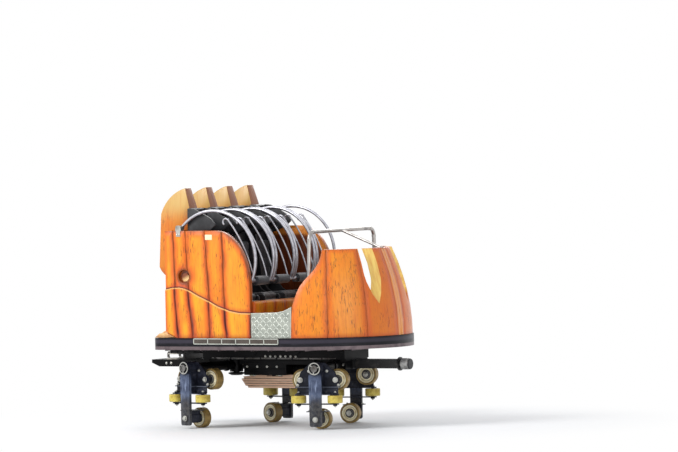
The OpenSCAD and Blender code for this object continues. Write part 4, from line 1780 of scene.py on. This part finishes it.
@dataclass
class Cabin(Section):
    """The turning cabin: deck, planked walls, plates and rail."""

    finishes: tuple[tuple[str, str], ...] = (
        ("platform_deck", "deck"),
        ("platform_skirt", "skirt"),
        ("step_plates", "step"),
        ("sill_plates", "tread"),
        ("handrail", "rail"),
        ("pivot_brackets", "zinc"),
        ("ring_upper", "ring"),
    )
    boards: tuple[tuple[str, Layout], ...] = (
        ("side_panels", Layout.SIDE),
        ("front_shell", Layout.SHELL),
        ("rear_panel", Layout.REAR),
        ("rear_staves", Layout.STAVE),
        ("seat_base", Layout.PLAIN),
        ("dash_panel", Layout.DARK),
    )
    rounding: float = 0.0045
    board_corner: float = math.radians(32)
    seat_rounding: float = 0.006
    seat_corner: float = math.radians(40)
    panel_y: float = 0.815
    hinge_x: float = -0.690
    plate_x: float = -0.349
    plate_z: float = 1.857
    plate_half: tuple[float, float] = (0.0385, 0.025)
    rail_foot: Triple = (0.660, 0.656, 0.885)
    hinge_bolt_z: float = 1.884
    hinge_bolt_dx: float = 0.012
    foot_bolt_out: float = 0.034
    foot_radius: float = 0.046
    root_voxel: float = 0.010
    root_cut: float = 0.004
    strand_scale: Triple = (7.0, 26.0, 4.0)
    strand_cut: float = 0.018
    lump_scale: float = 18.0
    lump_cut: float = 0.006
    rib_x: Numbers = (-0.88, -0.68, -0.48, -0.28, -0.09, 0.09, 0.28, 0.48, 0.68, 0.88, 1.06)
    rib_reach: float = 0.79
    rib_clear: float = 0.27
    ring_reach: float = 0.26
    rib_half: float = 0.005
    rib_z: tuple[float, float] = (0.758, 0.7705)
    nose_x: float = 0.475

    def rounded_boards(self) -> None:
        """Rounds the boards' edges on copies that take the CAD boards' places."""
        for node, layout in self.boards:
            piece = Bench.bevel(Bench.copy_of(node), self.rounding, 3, self.board_corner)
            slot = "cabin_brown" if layout in (Layout.STAVE, Layout.DARK) else "cabin_orange"
            piece = self.add(piece, f"{node}_boards", self.shelf.boards[layout], slot, 0.5)
            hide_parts(node)

    def rounded_mouldings(self) -> None:
        """Rounds the seats' shells and wings."""
        for node in ("seat_shells", "seat_wings"):
            piece = Bench.bevel(Bench.copy_of(node), self.seat_rounding, 3, self.seat_corner)
            piece = self.add(piece, f"{node}_moulded", self.shelf.seat, "seat_black", 0.5)
            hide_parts(node)

    def roots(self) -> None:
        """Carves the stump's roots inside their CAD shape."""
        piece = Bench.copy_of("stump_skirt")
        piece.data.remesh_voxel_size = self.root_voxel
        Bench.pick(piece)
        bpy.ops.object.voxel_remesh()
        normals = [vertex.normal.copy() for vertex in piece.data.vertices]
        for vertex, outward in zip(piece.data.vertices, normals):
            place = vertex.co
            strands = noise.noise(place * Vector(self.strand_scale))
            lumps = noise.noise(place * self.lump_scale)
            cut = self.root_cut + self.strand_cut * strands + self.lump_cut * lumps
            vertex.co = place - outward * max(0.0, cut)
        Bench.pick(piece)
        soft = piece.modifiers.new("soft", "SMOOTH")
        soft.factor, soft.iterations = 0.5, 3
        bpy.ops.object.modifier_apply(modifier=soft.name)
        piece = self.add(piece, "carved_roots", self.shelf.stump, "stump_wood", 1.3)
        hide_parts("stump_skirt")

    def small_fittings(self) -> None:
        """Sets the bolts of the hinge brackets, the blank plate and the handrail's feet."""
        bolts = []
        far, step = self.foot_bolt_out, self.hinge_bolt_dx
        x, y, z = self.rail_foot
        for side in SIDES:
            for dx in (-step, step):
                place = (self.hinge_x + dx, side * (self.panel_y + 0.005), self.hinge_bolt_z)
                bolts.append(facing(place, (0, side, 0), dx))
            for dx, dy in ((-far, 0), (far, 0), (0, far), (0, -far)):
                bolts.append(facing((x + dx, side * y + dy, z + 0.006), UP))
        piece = Fastener(0.014, 0.006, 0.009).scatter(bolts)
        self.add(piece, "cabin_bolts", self.shelf.zinc, "rail_steel")
        long, tall = self.plate_half
        plate = Bench.bevel(Bench.block((-long, -tall, 0.0), (long, tall, 0.002)), 0.0008, 2)
        plate.data.transform(facing((self.plate_x, -self.panel_y, self.plate_z), (0, -1, 0)))
        self.add(plate, "blank_plate", self.shelf.cream, "rail_steel")
        foot = Bench.bevel(Bench.cylinder(self.foot_radius, 0.006, 40), 0.0015, 2)
        feet = Bench.repeat(foot, [Matrix.Translation((x, side * y, z)) for side in SIDES])
        self.add(feet, "handrail_feet", self.shelf.rail, "rail_steel")

    def deck_ribs(self) -> None:
        """Sets stiffening ribs under the deck, clear of the slewing ring."""
        ribs = []
        low, high = self.rib_z
        for x in self.rib_x:
            ahead = max(0.0, x - self.nose_x)
            reach = math.sqrt(self.rib_reach**2 - ahead**2)
            spans = [(-reach, reach)]
            if abs(x) <= self.ring_reach:
                spans = [(-reach, -self.rib_clear), (self.rib_clear, reach)]
            back, front = x - self.rib_half, x + self.rib_half
            for near, far in spans:
                ribs.append(Bench.block((back, near, low), (front, far, high)))
        piece = Bench.bevel(Bench.join(ribs), 0.001, 1)
        self.add(piece, "deck_ribs", self.shelf.deck, "deck_steel")

    def build(self) -> None:
        """Dresses the cabin's nodes and adds what CAD leaves out."""
        for node, name in self.finishes:
            self.dress(node, getattr(self.shelf, name))
        for node, layout in self.boards:
            self.dress(node, self.shelf.boards[layout])
        self.rounded_boards()
        self.rounded_mouldings()
        self.roots()
        self.small_fittings()
        self.deck_ribs()


@dataclass
class TreadPlates(Section):
    """The raised pattern on the sill plates, and the frame and studs of the step plates."""

    sill_y: float = 0.813
    sill_from: float = 0.118
    sill_to: float = 0.548
    sill_low: float = 0.900
    sill_top: Pairs = ((0.105, 1.126), (0.40, 1.131), (0.47, 1.144), (0.52, 1.165), (0.558, 1.187))
    step_y: float = 0.846
    step_from: float = -0.530
    step_to: float = 0.430
    step_low: float = 0.822
    step_high: float = 0.885
    recess: float = 0.0025
    pitch_x: float = 0.0360
    pitch_z: float = 0.0350
    bead: float = 0.0040
    bead_foot: float = 0.890
    bead_x: tuple[float, float] = (0.1115, 0.5515)
    bead_z: tuple[float, float] = (1.1225, 1.178)
    fields: int = 6
    studs_each: int = 6
    stud_rows: tuple[float, float] = (0.845, 0.862)
    bar: float = 0.008
    bar_edge: float = 0.0025
    sill_lozenge: Triple = (0.0430, 0.0110, 0.0022)
    sill_lean: float = 45.0
    sill_margin: float = 0.018
    stud: Triple = (0.0170, 0.0050, 0.0013)
    stud_lean: float = 50.0
    stud_from: float = 0.026
    stud_slack: float = 0.024

    def lozenge(self, length: float, width: float, height: float) -> Piece:
        """Models one raised lozenge that lies on z = 0.

        Args:
            length: Its length.
            width: Its width.
            height: Its height.

        Returns:
            The lozenge.
        """
        piece = Bench.cylinder(0.5, height, 8)
        Bench.choose(piece, lambda middle, normal: normal.z > 0.9)
        bpy.ops.transform.resize(value=(0.62, 0.62, 1.0))
        bpy.ops.object.mode_set(mode="OBJECT")
        piece.data.transform(Matrix.Diagonal((length, width, 1.0, 1.0)))
        return piece

    def top_at(self, x: float) -> float:
        """Gives the sill plate's upper edge at a place along the car.

        Args:
            x: The place.

        Returns:
            The edge's height.
        """
        for (x0, z0), (x1, z1) in zip(self.sill_top, self.sill_top[1:]):
            if x <= x1:
                return z0 + (z1 - z0) * (x - x0) / (x1 - x0)
        return self.sill_top[-1][1]

    def sills(self) -> None:
        """Covers both sill plates with lozenges that turn each way by turns."""
        places = []
        for column in range(int((self.sill_to - self.sill_from) / self.pitch_x) + 1):
            x = self.sill_from + column * self.pitch_x
            row, z = 0, self.sill_low
            while z < self.top_at(x) - self.sill_margin:
                lean = math.radians(self.sill_lean if (row + column) % 2 else -self.sill_lean)
                for side in SIDES:
                    places.append(facing((x, side * self.sill_y, z), (0, side, 0), lean))
                row, z = row + 1, z + self.pitch_z
        piece = Bench.repeat(self.lozenge(*self.sill_lozenge), places)
        self.add(piece, "sill_lozenges", self.shelf.lozenge, "checker_plate")
        beads = []
        for side in SIDES:
            y = side * (self.sill_y - self.bead * 0.4)
            top = [(x, y, z - self.bead * 0.6) for x, z in self.sill_top[1:-1]]
            (x0, x1), (z0, z1), foot = self.bead_x, self.bead_z, self.bead_foot
            line = [(x0, y, foot), (x0, y, z0), *top, (x1, y, z1), (x1, y, foot)]
            beads.append(Bench.tube(line, self.bead, 3))
        self.add(Bench.join(beads), "sill_beads", self.shelf.lozenge, "checker_plate", 0.9)

    def steps(self) -> None:
        """Frames both step plates and studs each of their fields."""
        tray = Bench.copy_of("step_plates")
        Bench.choose(
            tray, lambda middle, normal: abs(normal.y) > 0.9 and abs(middle.y) > self.step_y - 0.001
        )
        bpy.ops.mesh.inset(thickness=0.002, depth=-self.recess)
        bpy.ops.object.mode_set(mode="OBJECT")
        tray = self.add(tray, "step_trays", self.shelf.step, "checker_plate")
        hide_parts("step_plates")
        edge, wide, fields = self.bar_edge, self.bar, self.fields
        length, field_y = self.step_to - self.step_from, self.step_y - self.recess
        bars, studs, made = [], [], []
        for k in range(fields + 1):
            x = self.step_from + edge + k * (length - 2 * edge - wide) / fields
            bars.append(((x, self.step_low + edge), (x + wide, self.step_high - edge)))
        for z in (self.step_low + edge, self.step_high - edge - wide):
            bars.append(((self.step_from + edge, z), (self.step_to - edge, z + wide)))
        each, run = self.studs_each, length - self.stud_slack
        spots = [k for k in range(fields * each) if k % each != each - 1]
        for side in SIDES:
            y0, y1 = sorted((side * (field_y - 0.0002), side * (self.step_y - 0.0001)))
            made += [Bench.block((a[0], y0, a[1]), (b[0], y1, b[1])) for a, b in bars]
            for k in spots:
                x = self.step_from + self.stud_from + k * run / (fields * each)
                for row, z in enumerate(self.stud_rows):
                    lean = math.radians(self.stud_lean if (k + row) % 2 else -self.stud_lean)
                    studs.append(facing((x, side * field_y, z), (0, side, 0), lean))
        piece = Bench.bevel(Bench.join(made), 0.0008, 1)
        self.add(piece, "step_frames", self.shelf.lozenge, "checker_plate")
        piece = Bench.repeat(self.lozenge(*self.stud), studs)
        self.add(piece, "step_studs", self.shelf.step, "checker_plate")

    def build(self) -> None:
        """Makes the pattern of all four plates."""
        self.sills()
        self.steps()


@dataclass
class Chassis(Section):
    """The chassis under the deck: frame, boxes and bumpers."""

    side_bolts: tuple[tuple[Numbers, float, float], ...] = (
        ((-0.341, -0.226, -0.115, -0.005), 0.160, 0.578),
        ((-1.238, -1.183), 0.200, 0.610),
        ((-0.770, 0.770), 0.210, 0.602),
    )
    tube_bolt_from: float = -0.090
    tube_bolt_step: float = 0.057
    tube_bolts: int = 7
    tube_bolt_z: float = 0.682
    tube_y: float = 0.230
    bracket_bolt: Triple = (-1.15, 0.13, 0.703)
    bracket_step: float = 0.05
    bolt: Triple = (0.018, 0.007, 0.012)
    covers_side: tuple[tuple[float, float, float, float, float], ...] = (
        (0.1610, -0.362, 0.084, 0.508, 0.564), (0.1705, -0.40, 0.40, 0.612, 0.648),
    )
    cover_half: float = 0.0015
    hatch_x: tuple[float, float] = (-0.170, -0.048)
    hatch_size: tuple[float, float] = (0.10, 0.12)
    hatch_z: tuple[float, float] = (0.4925, 0.4955)
    tray_x: tuple[float, float] = (-1.225, -0.8005)
    tray_z: tuple[float, float] = (0.7035, 0.7400)
    tray_half: float = 0.150
    tray_ribs: int = 7
    tray_bend: Pairs = (
        (-1.236, 0.7175), (-1.262, 0.7150), (-1.272, 0.700), (-1.273, 0.672),
        (-1.262, 0.6515), (-1.244, 0.650),
    )
    tray_pipes: Pairs = ((0.115, 0.008), (0.094, 0.006))
    pipe_runs: tuple[Triple, ...] = (
        (0.6655, 0.0046, 0.700), (0.6575, 0.0032, 0.640),
    )
    pipe_end_y: float = 0.215
    clip_x: Numbers = (-0.66, -0.48, -0.32, -0.14, 0.04, 0.22, 0.40, 0.55)
    clip_z: tuple[float, float] = (0.6545, 0.6715)
    fin_radius: float = 0.0585
    fin_from: float = 0.118
    fin_step: float = 0.0155
    fins: int = 11
    motor_z: float = 0.552

    @property
    def body(self) -> str:
        """The CAD body that the chassis' own pieces ride on."""
        return "chassis"

    def build(self) -> None:
        """Dresses the chassis and sets its bolts."""
        for node in ("chassis_frame", "equipment_box", "rear_bumper", "front_axle", "rear_axle"):
            self.dress(node, self.shelf.black)
        self.dress("front_bumper", self.shelf.buffer)
        self.dress("rear_bracket", BracketFinish().build())
        self.dress("ring_lower", self.shelf.ring)
        self.dress("drive_skid", self.shelf.skid)
        places = []
        for side in SIDES:
            out = (0, side, 0)
            for row, y, z in self.side_bolts:
                places += [facing((x, side * y, z), out, x) for x in row]
            for k in range(self.tube_bolts):
                x = self.tube_bolt_from + k * self.tube_bolt_step
                places.append(facing((x, side * self.tube_y, self.tube_bolt_z), out, k))
        x, y, z = self.bracket_bolt
        for k in SIDES:
            along = x + k * self.bracket_step
            places += [facing((along, side * y, z), UP, k) for side in SIDES]
        piece = Fastener(*self.bolt).scatter(places)
        self.add(piece, "chassis_bolts", self.shelf.zinc, "ring_steel")
        self.covers()
        self.cable_tray()
        self.pipes()
        self.motor_fins()

    def covers(self) -> None:
        """Sets thin cover plates on the sides and the underside of the lower box."""
        made, half = [], self.cover_half
        for y, back, front, low, high in self.covers_side:
            for side in SIDES:
                near, far = side * y - half, side * y + half
                made.append(Bench.block((back, near, low), (front, far, high)))
        (long, wide), (low, high) = self.hatch_size, self.hatch_z
        for x in self.hatch_x:
            made.append(Bench.block((x, -wide, low), (x + long, wide, high)))
        piece = Bench.bevel(Bench.join(made), 0.001, 2)
        self.add(piece, "box_covers", self.shelf.black, "chassis_paint")

    def cable_tray(self) -> None:
        """Lays a lidded cable tray from the rear bracket to the frame, close under the deck."""
        (back, front), (low, high), half = self.tray_x, self.tray_z, self.tray_half
        tray = Bench.block((back, -half, low), (front, half, high))
        Bench.choose(tray, lambda middle, normal: abs(normal.y) > 0.9)
        bpy.ops.mesh.inset(thickness=0.007, depth=-0.004)
        bpy.ops.object.mode_set(mode="OBJECT")
        lid = Bench.block(
            (back - 0.004, -half - 0.006, high - 0.001), (front, half + 0.006, high + 0.004)
        )
        made = [Bench.bevel(tray, 0.0015, 2), Bench.bevel(lid, 0.001, 1)]
        step = (front - back - 0.03) / (self.tray_ribs - 1)
        for side in SIDES:
            y0, y1 = sorted((side * (half - 0.005), side * (half + 0.001)))
            for k in range(self.tray_ribs):
                x = back + 0.012 + k * step
                made.append(Bench.block((x, y0, low + 0.004), (x + 0.006, y1, high - 0.004)))
        self.add(Bench.join(made), "cable_tray", self.shelf.black, "chassis_paint")
        runs = [
            Bench.tube([(x, side * y, z) for x, z in self.tray_bend], radius, 3)
            for side in SIDES
            for y, radius in self.tray_pipes
        ]
        self.add(Bench.join(runs), "tray_pipes", self.shelf.ring, "ring_steel", 0.9)

    def pipes(self) -> None:
        """Runs two pipes in clips along each long tube."""
        made, clips = [], []
        low, high = self.clip_z
        for side in SIDES:
            for z, radius, far in self.pipe_runs:
                y = side * (self.tube_y + 0.0002 + radius)
                bend = [
                    (-far, side * self.pipe_end_y, z),
                    (-far + 0.002, y - side * 0.006, z),
                    (-far + 0.012, y, z),
                ]
                back = [(-x, *rest) for x, *rest in reversed(bend)]
                made.append(Bench.tube(bend + back, radius, 3))
            y0, y1 = sorted((side * (self.tube_y - 0.0002), side * (self.tube_y + 0.0125)))
            for x in self.clip_x:
                clips.append(Bench.block((x - 0.007, y0, low), (x + 0.007, y1, high)))
        self.add(Bench.join(made), "chassis_pipes", self.shelf.ring, "ring_steel", 0.9)
        piece = Bench.bevel(Bench.join(clips), 0.002, 2)
        self.add(piece, "pipe_clips", self.shelf.skirt, "chassis_paint")

    def motor_fins(self) -> None:
        """Rings the motor with cooling fins."""
        fin = Bench.bevel(Bench.cylinder(self.fin_radius, 0.005, 40), 0.001, 1)
        spots = [self.fin_from + self.fin_step * k for k in range(self.fins)]
        places = [facing((x, 0, self.motor_z), (1, 0, 0)) for x in spots]
        self.add(Bench.repeat(fin, places), "motor_fins", self.shelf.black, "chassis_paint")


@dataclass(frozen=True)
class Pad:
    """One kind of seat cushion: its swell, its piping's plane and its sewn channels."""

    name: str
    cap: float
    rim: Triple
    across: Triple
    cuts: Numbers


@dataclass
class Cushions(Section):
    """The seats' and lap bars' cushions, blown up as cloth from within their CAD shapes."""

    seats: Numbers = (-0.579, -0.193, 0.193, 0.579)
    voxel: float = 0.0075
    shrink: float = 0.005
    pressure: float = 4.0
    frames: int = 20
    channel: float = 0.004
    channel_width: float = 0.007
    piping: float = 0.0035
    pads: tuple[Pad, ...] = (
        Pad("pan", 0.012, (-0.05, 0.0, 1.0), (1.0, 0.0, 0.0), (-0.11, 0.0, 0.11)),
        Pad("back", 0.010, (1.0, 0.0, 0.055), UP, (-0.14, -0.05, 0.04, 0.13)),
        Pad("head", 0.007, (1.0, 0.0, -0.04), UP, (0.0,)),
    )
    lap_cap: float = 0.006

    def loose_parts(self, node: str) -> list[Piece]:
        """Copies a node and takes it apart into its solids.

        Args:
            node: The CAD node.

        Returns:
            The solids, each a piece.
        """
        piece = Bench.copy_of(node)
        Bench.pick(piece)
        bpy.ops.object.mode_set(mode="EDIT")
        bpy.ops.mesh.select_all(action="SELECT")
        bpy.ops.mesh.separate(type="LOOSE")
        bpy.ops.object.mode_set(mode="OBJECT")
        return list(bpy.context.selected_objects)

    def blow(self, piece: Piece, cap: float, channels: Sequence[tuple[Vector, Vector]]) -> None:
        """Fills a cover with pressure, then sews its channels.

        Args:
            piece: The cushion's plain shape.
            cap: The furthest that the cover may move, in metres.
            channels: Place and normal of each sewn line's plane.
        """
        Bench.pick(piece)
        piece.data.remesh_voxel_size = self.voxel
        bpy.ops.object.voxel_remesh()
        bpy.ops.object.mode_set(mode="EDIT")
        bpy.ops.mesh.select_all(action="SELECT")
        bpy.ops.transform.shrink_fatten(value=-self.shrink)
        bpy.ops.object.mode_set(mode="OBJECT")
        cloth = piece.modifiers.new("cover", "CLOTH")
        cloth.settings.use_pressure = True
        cloth.settings.uniform_pressure_force = self.pressure
        cloth.settings.effector_weights.gravity = 0.0
        cloth.point_cache.frame_start = 1
        cloth.point_cache.frame_end = self.frames
        for step in range(1, self.frames + 1):
            bpy.context.scene.frame_set(step)
        blown = piece.evaluated_get(bpy.context.evaluated_depsgraph_get())
        targets = [vertex.co.copy() for vertex in blown.data.vertices]
        piece.modifiers.remove(cloth)
        bpy.context.scene.frame_set(1)
        for vertex, target in zip(piece.data.vertices, targets):
            move = target - vertex.co
            vertex.co = vertex.co + move * min(1.0, cap / max(move.length, 1e-6))
        piece.data.update()
        soft = piece.modifiers.new("soft", "SUBSURF")
        soft.levels = soft.render_levels = 1
        Bench.pick(piece)
        bpy.ops.object.modifier_apply(modifier=soft.name)
        normals = [vertex.normal.copy() for vertex in piece.data.vertices]
        for vertex, outward in zip(piece.data.vertices, normals):
            near = min(
                (abs((vertex.co - place).dot(normal)) for place, normal in channels), default=1.0
            )
            vertex.co -= outward * self.channel * math.exp(-((near / self.channel_width) ** 2))
        piece.data.update()

    def one_seat(self) -> tuple[dict[str, Piece], list[Piece]]:
        """Makes the three cushions of one seat, with the piping round each.

        Returns:
            The cushions by name, and their pipings.
        """
        made, pipings, mine = {}, [], []
        for part in self.loose_parts("seat_pads"):
            low, high = Bench.reach(part)
            if abs((low.y + high.y) / 2 - self.seats[0]) < 0.05:
                mine.append(part)
            else:
                bpy.data.objects.remove(part)
        mine.sort(key=lambda part: Bench.reach(part)[0].z)
        for pad, part in zip(self.pads, mine):
            low, high = Bench.reach(part)
            middle, across = (low + high) / 2, Vector(pad.across)
            self.blow(part, pad.cap, [(middle + across * cut, across) for cut in pad.cuts])
            made[pad.name] = part
            pipings.append(Bench.seam(part, middle, Vector(pad.rim).normalized(), self.piping))
        return made, pipings

    def build(self) -> None:
        """Makes the cushions of every seat and lap bar, and dresses the hoops."""
        places = [Matrix.Translation((0, y - self.seats[0], 0)) for y in self.seats]
        made, pipings = self.one_seat()
        for name, part in made.items():
            cushion = self.add(
                Bench.repeat(part, places), f"{name}_cushions", self.shelf.pad, "seat_pad", 1.2
            )
            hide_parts("seat_pads")
        trim = Bench.repeat(Bench.join(pipings), places)
        self.add(trim, "cushion_piping", self.shelf.seat, "seat_pad", 1.2)
        template, *others = self.loose_parts("lap_pad_1")
        for part in others:
            bpy.data.objects.remove(part)
        self.blow(template, self.lap_cap, [])
        for seat, place in enumerate(places, 1):
            self.dress(f"restraint_{seat}", self.shelf.chrome)
            cushion = Bench.finish(
                Bench.twin(template, place),
                f"lap_cushion_{seat}",
                f"restraint_{seat}",
                self.shelf.pad,
                "seat_pad",
                1.2,
            )
            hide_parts(f"lap_pad_{seat}")
        bpy.data.objects.remove(template)


def main() -> None:
    """Builds the stage and every part of the car."""
    logging.basicConfig(level=logging.INFO, format="%(message)s")
    Stage().build()
    shelf = Shelf()
    for section in (Cabin, Chassis, Cushions, TreadPlates):
        section(shelf).build()
    for axle in Axle:
        for side in SIDES:
            Bogie(shelf, axle, side).build()
    Bench.clear()
    LOG.info("built")


if __name__ == "__main__":
    main()
